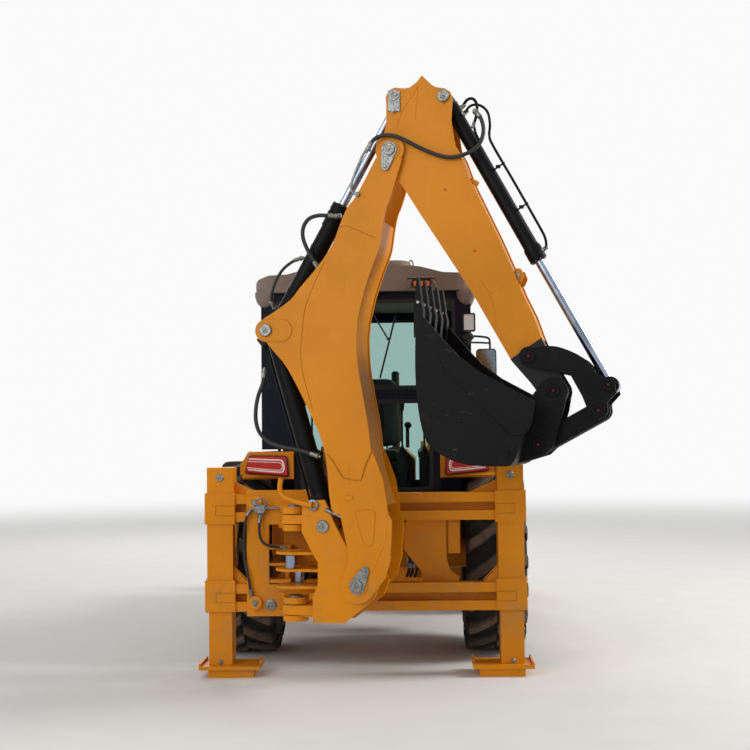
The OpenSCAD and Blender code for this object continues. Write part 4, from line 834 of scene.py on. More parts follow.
class BACKHOE_OT_hoses(bpy.types.Operator):
    """Loose hoses of the digging arm and of the carriage's valve, with their ferrules"""
    bl_idname = "backhoe.hoses"
    bl_label = "Hoses"

    # Routes on the arm as reach, height and side, and on the machine as right, forward and up
    HEAD = ((.575, 3.425, .187), (.597, 3.462, .188), (.632, 3.489, .19), (.685, 3.499, .19), (.75, 3.489, .186),
            (.827, 3.452, .176), (.904, 3.408, .164), (1.012, 3.358, .154), (1.101, 3.338, .15), (1.19, 3.354, .144),
            (1.248, 3.388, .128), (1.284, 3.442, .108), (1.296, 3.512, .092), (1.28, 3.583, .074),
            (1.246, 3.632, .06))
    HUMP = ((.318, 3.022, .092), (.279, 3.026, .102), (.211, 3.03, .108), (.15, 3.011, .112), (.114, 2.961, .114),
            (.108, 2.896, .112), (.13, 2.826, .106), (.163, 2.762, .1), (.2, 2.695, .092))
    FOOT = ((-.183, 2.029, .06), (-.186, 1.955, .08), (-.21, 1.88, .095), (-.226, 1.796, .1),
            (-.226, 1.705, .1), (-.198, 1.63, .1), (-.131, 1.57, .1), (-.029, 1.537, .104),
            (.073, 1.519, .11), (.188, 1.485, .118))
    BARREL = ((.062, 2.768, .036), (.021, 2.751, .05), (-.039, 2.706, .062), (-.083, 2.645, .07),
              (-.108, 2.59, .07), (-.124, 2.545, .066), (-.131, 2.505, .058), (-.128, 2.478, .049),
              (-.118, 2.457, .04))
    VALVE = ((-.7, -1.167, 1.07), (-.702, -1.18, 1.035), (-.703, -1.188, .99), (-.696, -1.19, .94),
             (-.676, -1.19, .903), (-.64, -1.188, .882), (-.593, -1.184, .873), (-.548, -1.18, .868),
             (-.52, -1.18, .858))
    CLAMP = ((-.766, -1.166, 1.116), (-.781, -1.168, 1.094), (-.793, -1.167, 1.065), (-.802, -1.164, 1.025),
             (-.807, -1.157, .975), (-.809, -1.15, .93), (-.81, -1.146, .88), (-.808, -1.15, .8),
             (-.797, -1.16, .74), (-.785, -1.168, .69), (-.775, -1.166, .64), (-.768, -1.164, .59),
             (-.76, -1.16, .548))
    # Hose: solid that it replaces, bodies of its two ends, radius, sides, points, and where its bend starts and
    # ends, as a point of the path and one of the route; a radius of 0 is the add-on's own
    HOSES = (("hose_to_dipper_head", "hose_head", "boom", "dipper", 0, 16, 90, on_arm, HEAD, (4, 7)),
             ("hose_over_hump", "hose_hump", "dipper_barrel", "dipper_barrel", 0, 16, 54, on_arm, HUMP, None),
             ("hose_to_foot", "hose_foot", "boom", "boom", 0, 16, 60, on_arm, FOOT, None),
             ("hose_beside_barrel", None, "dipper_barrel", "dipper_barrel", .01, 12, 36, on_arm, BARREL, None),
             ("hose_from_valve", None, "carriage", "swing_barrel_left", .0095, 12, 36, on_machine, VALVE, (8, -1)),
             ("hose_to_clamp", None, "carriage", "carriage", .0095, 12, 36, on_machine, CLAMP, None))

    def execute(self, context):
        for name, node, body, far, radius, sides, count, place, route, bend in self.HOSES:
            r = radius or settings().hose_radius
            path = path_of(route, count, place)
            piece = fitted(name, [tube(path, r, sides)], "hose_rubber", None if bend else body)
            if node:
                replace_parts(piece, node)
            ends = [fitted(name + word, [self.ferrule(at, at - inner, r)], "zinc", carrier)
                    for word, at, inner, carrier in (("_ferrule", path[0], path[2], body),
                                                     ("_far_ferrule", path[-1], path[-3], far))]
            if bend:
                tuple(place(*route[bend[1]]))
                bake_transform(piece)
        return {"FINISHED"}

    def ferrule(self, place, away, r):
        """Crimped sleeve, collar and nut, one profile turned about the hose's end."""
        profile = [(-.042, r * .9), (-.042, r + .003)]
        for k in range(4):
            profile += [(-.038 + .009 * k, r + .004), (-.034 + .009 * k, r + .0025)]
        profile += [(0.0, r + .002), (0.0, r + .006), (.016, r + .006), (.016, r * .7), (.03, r * .7),
                    (.03, 0)]
        return revolved(profile, place, away, 20)


class BACKHOE_OT_tyres(bpy.types.Operator):
    """Tyres with two staggered rows of slanted lugs, in place of the plain ones"""
    bl_idname = "backhoe.tyres"
    bl_label = "Tyres"

    # Radii of the ring of nuts and of the hub cap, and how far in from the tyre's side the disc stands
    HUB = {"rear": (.115, .085), "front": (.075, .052)}
    DISC_IN = .09

    def execute(self, context):
        s = settings()
        for end, lugs in (("rear", s.rear_lugs), ("front", s.front_lugs)):
            for hand, out in (("left", -1), ("right", 1)):
                wheel, node, rim = (f"{kind}_{end}_{hand}" for kind in ("wheel", "tyre", "rim"))
                centre = middle(node)
                centre[2] = place_of(wheel + "_spin")[2]
                half = (high(node) - low(node))[0] / 2
                rim_radius = (high(rim) - low(rim))[2] / 2 - .022
                tyre = self.tyre(centre, centre[2], half, rim_radius, lugs, s.lug_height)
                piece = fitted(node + "_rubber", tyre, "tyre_rubber", wheel)
                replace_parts(piece, node)
                # Share of the lug's height that a point stands at, for the dust on the tread
                offset = read_points(piece) - centre
                risen = np.hypot(offset[:, 1], offset[:, 2]) - centre[2] + .8 * s.lug_height
                mark = piece.data.attributes.new("tread", "FLOAT", "POINT")
                mark.data.foreach_set("value", np.clip(risen / (.6 * s.lug_height), 0, 1).astype(np.float32))
                disc = centre + [out * (half - self.DISC_IN), 0, 0]
                ring, cap = self.HUB[end]
                fitted(rim + "_nuts", self.nuts(disc, (out, 0, 0), ring), "zinc", wheel)
                fitted(rim + "_cap", [self.cap(disc, (out, 0, 0), cap)], "yellow_paint", wheel)
        return {"FINISHED"}

    def tyre(self, centre, radius, half, rim, lugs, lug_height):
        """Body turned about the axle; each lug is a trapezium carried from the middle over the shoulder."""
        body, seat = radius - lug_height, half - .0703
        belly = (rim + body) / 2 + .04
        side = [(seat, rim + .001), (seat, rim + .026), (seat + .018, rim + .027), (seat + .034, rim + .042),
                (half - .02, rim + .066), (half - .012, rim + .07), (half - .012, rim + .076),
                (half - .004, (rim + belly) / 2 + .01), (half - .001, belly - .02), (half - .001, belly - .012),
                (half - .004, belly - .01), (half - .004, belly + .01), (half - .01, body - .075),
                (half - .022, body - .038), (half - .038, body - .018), (half * .6, body - .006), (0.0, body)]
        profile = [(-x, r) for x, r in side] + [(x, r) for x, r in side[-2::-1]]
        points, _ = revolved(profile, centre, OUT, 96)
        parts = [(points, grid_faces(len(profile), 96, wrap_rows=True, wrap_columns=True))]
        # Rows of a lug: place from the middle, foot radius, tip radius, share of the slant
        rows = np.array([(.004, body - .004, radius, 0.0), (.25 * half, body - .004, radius, .2),
                         (.5 * half, body - .008, radius, .38), (.72 * half, body - .014, radius - .001, .52),
                         (half - .03, body - .024, radius - .003, .6),
                         (half - .011, body - .04, radius - .02, .64),
                         (half - .001, body - .075, body - .03, .68),
                         (half - .006, body - .105, body - .075, .7)])
        across, foot, tip, slant = (rows[None, :, k:k + 1] for k in range(4))
        # Columns of a lug: place round the tyre as a share of the pitch, and height between foot and tip
        share = np.array([-.03, .05, .075, .325, .35, .43])
        rise = np.array([0.0, .86, 1.0, 1.0, .86, 0.0])
        order, n = np.arange(lugs)[:, None, None], len(share)
        last = (len(rows) - 1) * n
        shell = [face[::-1] for face in grid_faces(len(rows), n)]
        shell += [list(range(n)), [last + k for k in range(n)][::-1]]
        for hand, shift in ((-1, 0.0), (1, .5)):
            angle = 2 * np.pi / lugs * (order + shift + slant + share - .07) - np.pi / 2
            reach = foot + (tip - foot) * rise
            x, reach, angle = np.broadcast_arrays(hand * across, reach, angle)
            grid = np.stack([x, reach * np.cos(angle), reach * np.sin(angle)], -1) + centre
            faces = shell if hand > 0 else [face[::-1] for face in shell]
            parts += [(lug, faces) for lug in grid]
        return parts

    def nuts(self, disc, axis, ring):
        """Eight wheel nuts on studs."""
        parts = []
        for a in np.arange(8) * math.pi / 4:
            at = disc + [0, -ring * math.sin(a), ring * math.cos(a)]
            parts += [bolt_head(at, axis, .014), drum([(0, .007), (.024, .007), (.026, .005)], at, axis, 10)]
        return parts

    def cap(self, disc, axis, r):
        """Hub cap, a shallow dome turned about the axle."""
        dome = [(.012 + .028 * math.sin(t), r * math.cos(t)) for t in np.linspace(0, np.pi / 2, 7)]
        return revolved([(0, 0), (0, r + .006), (.012, r + .006), (.012, r)] + dome, disc, axis, 36)


class BACKHOE_OT_arm_pins(bpy.types.Operator):
    """Pins, keeper plates, bolts and grease caps of the digging arm, and the lock of its swing"""
    bl_idname = "backhoe.arm_pins"
    bl_label = "Arm pins"

    # Pin, body, face that it stands on, radius of its head, height of its head, finish
    HEADS = (("foot", "kingpost", .166, .038, .02, "zinc"), ("top", "boom", .166, .038, .02, "zinc"),
             ("hump", "boom", .172, .04, .012, "zinc"), ("base", "dipper", DIPPER_FACE, .038, .018, "zinc"),
             ("head", "dipper", DIPPER_FACE, .036, .014, "zinc"), ("king", "kingpost", .135, .04, .014, "zinc"),
             ("bucket", "backhoe_bucket", .158, .042, .008, "black_paint"),
             ("link", "backhoe_bucket", .158, .042, .008, "black_paint"),
             ("lever", "tipping_lever", .189, .042, .012, "black_paint"),
             ("tip", "tipping_lever", .189, .042, .008, "black_paint"),
             ("lug", "tipping_lever", .189, .042, .008, "black_paint"))
    # Pins that cross a gap: name, body, half length, and the two ends of the sleeve between eye and plate
    BARS = (("head", "dipper", .126, .045, .096), ("king", "kingpost", .136, .045, .104),
            ("lug", "tipping_lever", .19, .044, .098), ("tip", "tipping_lever", .19, .1, .16))
    BAR_RADIUS = .0365
    # Keeper plates: pin, body, face, end of the plate from the pin (reach, height), radii of its ends
    KEEPERS = (("foot", "kingpost", .167, (.052, .098), .052, .027), ("top", "boom", .167, (-.027, -.106), .052, .027))

    def execute(self, context):
        zinc, red, black = {}, {}, {}
        for name, body, face, radius, stand, finish in self.HEADS:
            group = zinc if finish == "zinc" else black
            for hand in (1, -1):
                at, away = on_arm(*PINS[name], hand * face), NEAR * hand
                group.setdefault(body, []).append(pin_head(at, away, radius, stand))
                if finish == "black_paint":
                    cap = drum([(stand, .007), (stand + .007, .007), (stand + .01, .004)], at, away, 14)
                    red.setdefault(body, []).append(cap)
        r = self.BAR_RADIUS
        for name, body, half, near, far in self.BARS:
            at = on_arm(*PINS[name])
            zinc.setdefault(body, []).append(drum([(-half, r), (half, r)], at, NEAR, 36))
            sleeve = [(near, r), (near, r + .016), (far, r + .016), (far, r)]
            black.setdefault(body, []).extend(revolved(sleeve, at, NEAR * hand, 28) for hand in (1, -1))
        for name, body, face, end, big, small in self.KEEPERS:
            at = np.array(PINS[name])
            zinc[body] += [arm_plate(drop_plate(at, at + end, big, small), face, .008),
                           bolt_head(on_arm(*(at + end), face + .008), NEAR, .011)]
        # Rectangular keeper plate below the dipper cylinder's pin
        head = np.array(PINS["head"])
        zinc["dipper"].append(arm_plate(head + [(-.04, .033), (.04, .026), (.039, -.108), (-.039, -.102)],
                                        DIPPER_FACE, .01))
        zinc["dipper"] += [bolt_head(on_arm(*(head + at), DIPPER_FACE + .01), NEAR, .012)
                           for at in ((-.004, -.098), (.012, .002))]
        for group, finish, word in ((zinc, "zinc", "pins"), (red, "grease_red", "grease_caps"),
                                    (black, "black_paint", "spacers")):
            for body, parts in group.items():
                fitted(f"{body}_{word}", parts, finish, body)
        # Ring and hook of the swing lock, and the stop bar beside them
        points, _ = revolved([(0, .02), (0, .036), (.01, .036), (.012, .033), (.012, .022), (.01, .02)],
                             on_arm(.171, 1.17, .141), NEAR, 32)
        ring = points, grid_faces(6, 32, wrap_rows=True, wrap_columns=True)
        fitted("swing_lock_ring", [ring], "zinc", "kingpost")
        hook = ((-.04, 1.341, .15), (-.048, 1.286, .15), (-.035, 1.24, .15), (.006, 1.212, .15),
                (.087, 1.186, .152), (.168, 1.17, .156))
        fitted("swing_lock_hook", [pipe(hook, 30, .017, place=on_arm)], "yellow_paint", "kingpost")
        stop = [on_arm(.253, 1.143, .148), on_arm(.375, 1.09, .148)]
        fitted("stop_bar", [tube(straight_path(stop, 4), .011, 12)], "zinc", "kingpost")
        return {"FINISHED"}


class BACKHOE_OT_lamps(bpy.types.Operator):
    """Tail lamps, work lamps, headlamps and roof lamps, in place of the plain blocks"""
    bl_idname = "backhoe.lamps"
    bl_label = "Lamps"

    # Bars of light in the tail lamps: a flat hook open towards the outer side, and drop and radius of its two bars
    HOOK = ((.834, 1.455), (.7, 1.448), (.612, 1.444), (.594, 1.434), (.585, 1.397), (.59, 1.368), (.608, 1.359),
            (.7, 1.366), (.838, 1.38))
    HOOKS = ((0, .0055), (.016, .0032))
    # Places forward of the tail lamps' backs, of their lenses' backs and of the bars
    TAIL_AT, LENS_AT, BAR_AT = -.7003, -.7203, -.73

    def execute(self, context):
        tail = softened([(.55, 1.324), (.866, 1.353), (.836, 1.482), (.563, 1.476)], .022)
        lens_edge = softened([(.558, 1.332), (.858, 1.36), (.831, 1.475), (.57, 1.469)], .02)
        housings = both_sides([panel(tail, (0, self.TAIL_AT, 0), REAR, .02, .004)])
        red = both_sides([panel(lens_edge, (0, self.LENS_AT, 0), REAR, .01, .006)])
        bars = [pipe([(x + drop * .6, self.BAR_AT, z - drop * (1 if z > 1.4 else -.9)) for x, z in self.HOOK],
                     40, radius, 8) for drop, radius in self.HOOKS]
        # Work lamp at the cab's right rear corner, on a bracket, and a tilted one under it on each side
        head, clear = self.lamp_head((.7375, -.664, 2.407), REAR, .046, .066, .043)
        housings += head + [tile((.018, .05, .006), (.7375, -.6503, 2.407), REAR, .014)]
        tilt = np.array([(.045, .012), (.004, .06), (-.045, .012), (-.004, -.052)])
        housings += both_sides([panel(tilt, (.732, -.652, 2.292), REAR, .06, .008),
                                panel(tilt * .72, (.732, -.712, 2.292), REAR, .006, .003)])
        amber = []
        # Work lamps at the cab's front, headlamps, then the indicators and lamps in the edges of the roof
        for glasses, *lamp in ((clear, (.67, CAB_FRONT + .0003, 2.5575), FRONT, .058, .0455, .058),
                               (clear, (.2, 2.5203, 1.3475), FRONT, .068, .031, .022),
                               (amber, (.405, ROOF_REAR, 2.688), REAR, .068, .03, .014),
                               (clear, (.405, ROOF_FRONT, 2.688), FRONT, .068, .03, .014)):
            head, glass = self.lamp_head(*lamp)
            housings += both_sides(head)
            glasses += both_sides(glass)
        for name, parts, finish, stands_for in (("lamp_housings", housings, "trim_plastic", True),
                                                ("tail_lenses", red, "red_lens", True),
                                                ("lamp_bars", both_sides(bars), "white_plastic", False),
                                                ("lamp_glasses", clear, "clear_lens", True),
                                                ("indicator_lenses", amber, "amber_lens", False)):
            piece = fitted(name, parts, finish)
            if stands_for:
                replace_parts(piece, "lamps")
        return {"FINISHED"}

    def lamp_head(self, place, facing, half_w, half_h, depth):
        """Rounded housing with a rim, and the crowned glass in it."""
        step = np.cross(*facing)
        body = tile((half_w, half_h, .014), place, facing, depth - .006, .005)
        rim = surround(rounded(half_w, half_h, .014), on_machine(*(place + step * (depth - .008))), *facing, .009, .008)
        glass = tile((half_w - .008, half_h - .008, .01), place + step * (depth - .009), facing, .006, .003)
        return [body, rim], [glass]


class BACKHOE_OT_mirrors(bpy.types.Operator):
    """Mirrors with rounded housings on bent arms: the right faces the rear, the left is folded in"""
    bl_idname = "backhoe.mirrors"
    bl_label = "Mirrors"

    # Half width, half height and corner radius of a housing and of its glass, and places of the two mirrors
    HEAD, GLASS = (.085, .205, .03), (.078, .198, .026)
    RIGHT_AT, LEFT_AT = (.942, .919, 2.128), (.83, .975, 2.128)

    def execute(self, context):
        x, y, z = self.RIGHT_AT
        arm = ((.7505, .905, 2.43), (.8, .905, 2.44), (.88, .905, 2.438), (x + .015, .905, 2.425),
               (x + .032, .905, 2.395), (x + .032, .905, 2.3))
        stay = ((.7505, .905, 2.385), (.8, .905, 2.388), (.9, .905, 2.385), (x + .03, .905, 2.38))
        short = ((.7505, .905, 2.43), (.79, .905, 2.438), (.828, .912, 2.425), (.843, .925, 2.395),
                 (.843, .93, 2.3))
        lower = ((.7505, .905, 2.385), (.79, .905, 2.385), (.842, .926, 2.378))
        foot = tile((.016, .05, .008), (.7505, .905, 2.405), RIGHT, .01)
        right = [tile(self.HEAD, self.RIGHT_AT, REAR, .026, .009),
                 surround(rounded(*self.HEAD), on_machine(x, y - .025, z), *REAR, .008, .004),
                 pipe(arm, 26, .009), pipe(stay, 14, .008), foot]
        left = [tile(self.HEAD, self.LEFT_AT, RIGHT, .026, .009), pipe(short, 26, .009), pipe(lower, 14, .008), foot]
        glasses = [tile(self.GLASS, (x, y - .0255, z), REAR, .002, .0005),
                   mirrored(tile(self.GLASS, (.828, .975, 2.128), RIGHT, .002, .0005))]
        for name, parts, finish in (("mirror_housings", right + on_hand(left, "left"), "trim_plastic"),
                                    ("mirror_glasses", glasses, "mirror_silver")):
            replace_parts(fitted(name, parts, finish), "mirrors")
        return {"FINISHED"}


class BACKHOE_OT_cab_trim(bpy.types.Operator):
    """Window rubbers, door handles, grab rails, rear wiper, latches, and the roof's cover, lips and seal"""
    bl_idname = "backhoe.cab_trim"
    bl_label = "Cab trim"

    def execute(self, context):
        rubbers = [self.rubber((0, CAB_REAR, 2.2615), REAR, .632, .311),
                   self.rubber((0, CAB_REAR, 1.5415), REAR, .462, .313),
                   self.rubber((0, CAB_FRONT, 1.905), FRONT, .632, .676)]
        rubbers += both_sides([self.rubber((CAB_SIDE, -.34, 2.09), RIGHT, .252, .492)])
        fitted("window_rubbers", rubbers, "trim_plastic")
        pull = ((.75, .79, 1.745), (.778, .79, 1.75), (.785, .79, 1.8), (.785, .79, 1.88), (.778, .79, 1.925),
                (.75, .79, 1.93))
        handle = [pipe(pull, 26, .009), tile((.03, .046, .01), (CAB_SIDE, .79, 1.7), RIGHT, .014, .005),
                  tile((.022, .008, .006), (.764, .79, 1.715), RIGHT, .01, .003)]
        pane = [self.rubber((CAB_SIDE, .415, 2.065), RIGHT, .388, .448)]
        for hand in ("left", "right"):
            door = "door_" + hand
            fitted(door + "_rubber", on_hand(pane, hand), "trim_plastic", door)
            fitted(door + "_handle", on_hand(handle, hand), "trim_plastic", door)
        # Grab rails in front of the doors, from the cab's side
        rail = ((.751, .9, 1.16), (.79, .9, 1.17), (.8, .9, 1.25), (.8, .9, 1.6), (.8, .9, 1.85),
                (.79, .9, 1.93), (.751, .9, 1.94))
        feet = [tile((.022, .03, .008), (CAB_SIDE, .9, z), RIGHT, .006) for z in (1.165, 1.935)]
        fitted("grab_rails", both_sides([pipe(rail, 44, .014)] + feet), "black_paint")
        # Rear wiper and the latches of the upper rear pane
        elbow = on_machine(.16, -.668, 2.3)
        wiper = [tile((.05, .026, .012), (.03, CAB_REAR, 2.535), REAR, .018, .006),
                 bar_between(on_machine(.03, -.664, 2.525), elbow, .006),
                 bar_between(on_machine(.1, -.66, 2.02), on_machine(.215, -.66, 2.46), .007, 8),
                 bar_between(elbow, on_machine(.16, -.658, 2.3), .01)]
        latches = []
        for x in (-.52, .52):
            latches += [tile((.018, .03, .006), (x, CAB_REAR, 1.905), REAR, .016, .004),
                        bar_between(on_machine(x, -.664, 1.915), on_machine(x, -.664, 1.985), .006)]
        fitted("rear_wiper", wiper, "trim_plastic")
        fitted("pane_latches", latches, "trim_plastic")
        # Round cover on the raised middle of the roof, with its rim and aerial foot
        at = on_machine(.208, -.28, float(high("cab_roof")[2]))
        cover = revolved([(-.004, 0), (-.004, .108), (.006, .108), (.012, .1), (.012, .092), (.02, .09),
                          (.026, .08), (.028, 0)], at, UP, 48)
        foot = revolved([(0, 0), (0, .016), (.014, .014), (.03, .006), (.034, 0)], at + [.125, 0, 0], UP, 16)
        fitted("roof_cover", [cover, foot], "black_paint")
        # Recesses of the roof's rear edge: raised lips beside and above the lamps
        lips = []
        for x0, x1, lean in ((.285, .315, .035), (.495, .525, -.035)):
            lip = [(x0 + lean, 2.722), (x1 + lean, 2.722), (x1, 2.652), (x0, 2.652)]
            lips.append(panel(softened(lip, .008), (0, ROOF_REAR, 0), REAR, .016, .006))
        lips.append(panel(softened([(.3, 2.722), (.51, 2.722), (.49, 2.738), (.32, 2.738)], .006),
                          (0, ROOF_REAR, 0), REAR, .016, .005))
        fitted("roof_lips", both_sides(lips), "roof_plastic")
        # Drip rail under the roof's edge
        rail = surround(rounded(.792, .832, .125, 8), on_machine(0, .14, 2.634), *TOP, .02, .01)
        fitted("roof_seal", [rail], "trim_plastic")
        return {"FINISHED"}

    def rubber(self, place, facing, half_w, half_h):
        """Rubber round a window, over the edge of its opening."""
        return surround(rounded(half_w + .012, half_h + .012, .034), on_machine(*place), *facing, .028, .005)


class BACKHOE_OT_cab_inside(bpy.types.Operator):
    """Steering wheel, control levers, consoles and seat"""
    bl_idname = "backhoe.cab_inside"
    bl_label = "Cab inside"

    # Radii of the steering wheel and of its bar, and its tilt in radians
    WHEEL, BAR, TILT = .19, .014, .5
    # Cushions: name, lowest and highest corner, and the axis across the cushion with the axis that its seams cross
    PADS = (("seat_base_pad", (-.228, -.01, 1.412), (.228, .338, 1.498), 2, 1),
            ("seat_back_pad", (-.222, -.118, 1.52), (.222, -.034, 2.052), 1, 2))
    # Width and depth of a seam, and how far the cloth may swell a cushion, in metres
    SEAM_WIDTH, SEAM_DEPTH, SWELL = .006, .008, .01
    # Edges of the sewn middle as shares of the width, and its cross seams as shares of the length
    EDGES, SEAMS = (.28, .72), (.25, .5, .75)

    def execute(self, context):
        self.wheel()
        # Two consoles at the rear window with a lever each, as the digging arm is worked facing back
        tower = softened(np.array([(-.055, 0.0), (.055, 0.0), (.04, .42), (-.04, .42)]) + [-.42, 1.04], .02)
        parts, knobs = [], []
        for x in (.25, .41):
            parts += [panel(tower, (x - .04, 0, 0), RIGHT, .08, .01),
                      pipe(((x, -.42, 1.45), (x, -.418, 1.6), (x, -.41, 1.8)), 12, .007, 10),
                      revolved([(0, 0), (0, .032), (.02, .03), (.04, .022), (.05, .024), (.065, .014), (.08, .009)],
                               on_machine(x, -.42, 1.455), UP, 16)]
            knobs.append(revolved([(0, 0), (0, .013), (.03, .017), (.08, .021), (.105, .019), (.12, .008), (.122, 0)],
                                  on_machine(x, -.41, 1.79), (0, .05, 1), 18))
        fitted("control_towers", both_sides(parts), "trim_plastic")
        fitted("lever_grips", both_sides(knobs), "seat_vinyl")
        # Seat: bellows under the pan, and arm rests
        bellows = []
        for k in range(5):
            half = .19 + .014 * (k % 2)
            bellows.append(tile((half, half, .04), (0, .11, 1.075 + .055 * k), TOP, .052, .02))
        fitted("seat_bellows", bellows, "trim_plastic")
        rest = [tile((.15, .024, .02), (.262, .05, 1.69), RIGHT, .052, .014),
                bar_between(on_machine(.285, -.08, 1.69), on_machine(.285, -.085, 1.52), .014)]
        fitted("arm_rests", both_sides(rest), "seat_vinyl")
        self.seat()
        return {"FINISHED"}

    def wheel(self):
        """Steering wheel: a round bar along a circle, three spokes, a turned boss and the column."""
        r = self.WHEEL
        tilt = np.array([0, -math.sin(self.TILT), math.cos(self.TILT)])
        hub = on_machine(0, .6, 1.8)
        across, over = np.array([1.0, 0, 0]), np.cross(tilt, [1.0, 0, 0])
        a = np.linspace(0, 2 * np.pi, 48, endpoint=False)
        b = np.linspace(0, 2 * np.pi, 12, endpoint=False)[None, :, None]
        out = np.cos(a)[:, None] * across + np.sin(a)[:, None] * over
        rings = (hub + r * out)[:, None] + self.BAR * (np.cos(b) * out[:, None] + np.sin(b) * -tilt)
        rim = rings, [face[::-1] for face in grid_faces(48, 12, True, True)]
        spokes = [bar_between(hub - .01 * tilt, hub + (r - .005) * (math.cos(t) * across + math.sin(t) * over), .008, 8)
                  for t in (math.pi / 2, 7 * math.pi / 6, 11 * math.pi / 6)]
        boss = drum([(-.05, .03), (-.01, .045), (.012, .042), (.018, .03)], hub, tilt, 24)
        column = tube(np.array([hub - .04 * tilt, hub - .15 * tilt, on_machine(0, .675, 1.6)]), .028, 14)
        fitted("steering_wheel", [rim, boss, column] + spokes, "trim_plastic")

    def seat(self):
        """Cushion and back swelled by cloth pressure, with sewn channels pressed in afterwards."""
        for name, lowest, highest, across, along in self.PADS:
            lowest, highest = on_machine(*lowest), on_machine(*highest)
            pad = mesh_object(name, *self.pillow(lowest, highest))
            self.swell(pad, self.SWELL)
            self.channels(pad, lowest, highest, across, along)
            smoother = pad.modifiers.new("smooth", "SUBSURF")
            smoother.levels = smoother.render_levels = 1
            pad.data.materials.append(finish_named("seat_vinyl"))
            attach(pad, "machine")
            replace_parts(pad, "seat_cushion")

    def pillow(self, lowest, highest, n=28, power=.32):
        """Rounded block: a sphere's directions raised to a small power, then scaled to the box."""
        u = np.linspace(-np.pi / 2, np.pi / 2, n + 1)[:, None]
        v = np.linspace(0, 2 * np.pi, 2 * n, endpoint=False)[None]

        def swollen(t):
            return np.sign(t) * np.abs(t) ** power
        shape = np.stack([swollen(np.cos(u)) * swollen(np.cos(v)), swollen(np.cos(u)) * swollen(np.sin(v)),
                          swollen(np.sin(u)) + 0 * v], -1)
        points = (lowest + highest) / 2 + shape * (highest - lowest) / 2
        return points, grid_faces(n + 1, 2 * n, wrap_columns=True)

    def swell(self, pad, most):
        """Voxel remesh, twenty frames of cloth with pressure, and each point's move capped."""
        scene = bpy.context.scene
        remesh = pad.modifiers.new("remesh", "REMESH")
        remesh.mode, remesh.voxel_size = "VOXEL", .007
        apply_modifiers(pad)
        before = read_points(pad)
        cloth = pad.modifiers.new("cloth", "CLOTH")
        cloth.settings.use_pressure = True
        cloth.settings.uniform_pressure_force = 4.0
        cloth.settings.effector_weights.gravity = 0.0
        cloth.settings.quality = 4
        cloth.point_cache.frame_start, cloth.point_cache.frame_end = 1, 20
        for frame_number in range(1, 21):
            scene.frame_set(frame_number)
        apply_modifiers(pad)
        scene.frame_set(1)
        move = read_points(pad) - before
        far = np.linalg.norm(move, axis=1)[:, None]
        move *= np.minimum(1, most / np.maximum(far, 1e-9))
        write_points(pad, before + move)

    def channels(self, pad, lowest, highest, across, along):
        """Sewn channels: points sink by depth * exp(-(distance / width)^2) at each seam."""
        points = read_points(pad)
        share = (points - lowest) / (highest - lowest)
        sink = np.zeros(len(points))
        for seam in self.EDGES:
            sink += np.exp(-(((share[:, 0] - seam) * .45) / self.SEAM_WIDTH) ** 2)
        inside = (share[:, 0] > self.EDGES[0]) & (share[:, 0] < self.EDGES[1])
        for seam in self.SEAMS:
            sink += inside * np.exp(-(((share[:, along] - seam) * (highest - lowest)[along]) / self.SEAM_WIDTH) ** 2)
        level = share[:, across]
        face = level > .55 if across == 2 else np.abs(level - .5) > .2
        points[:, across] += np.where(level > .5, -1.0, 1.0) * face * np.minimum(sink, 1) * self.SEAM_DEPTH
        write_points(pad, points)


def read_points(piece):
    """The mesh's points as an array."""
    flat = np.empty(3 * len(piece.data.vertices))
    piece.data.vertices.foreach_get("co", flat)
    return flat.reshape(-1, 3)


def write_points(piece, points):
    """Puts an array back into the mesh's points."""
    piece.data.vertices.foreach_set("co", np.asarray(points, float).ravel())
    piece.data.update()


def apply_modifiers(piece):
    """Turns the piece's mesh into what its modifiers make of it, and removes them."""
    graph = bpy.context.evaluated_depsgraph_get()
    mesh = bpy.data.meshes.new_from_object(piece.evaluated_get(graph))
    piece.modifiers.clear()
    piece.data = mesh
    mesh.polygons.foreach_set("use_smooth", [True] * len(mesh.polygons))


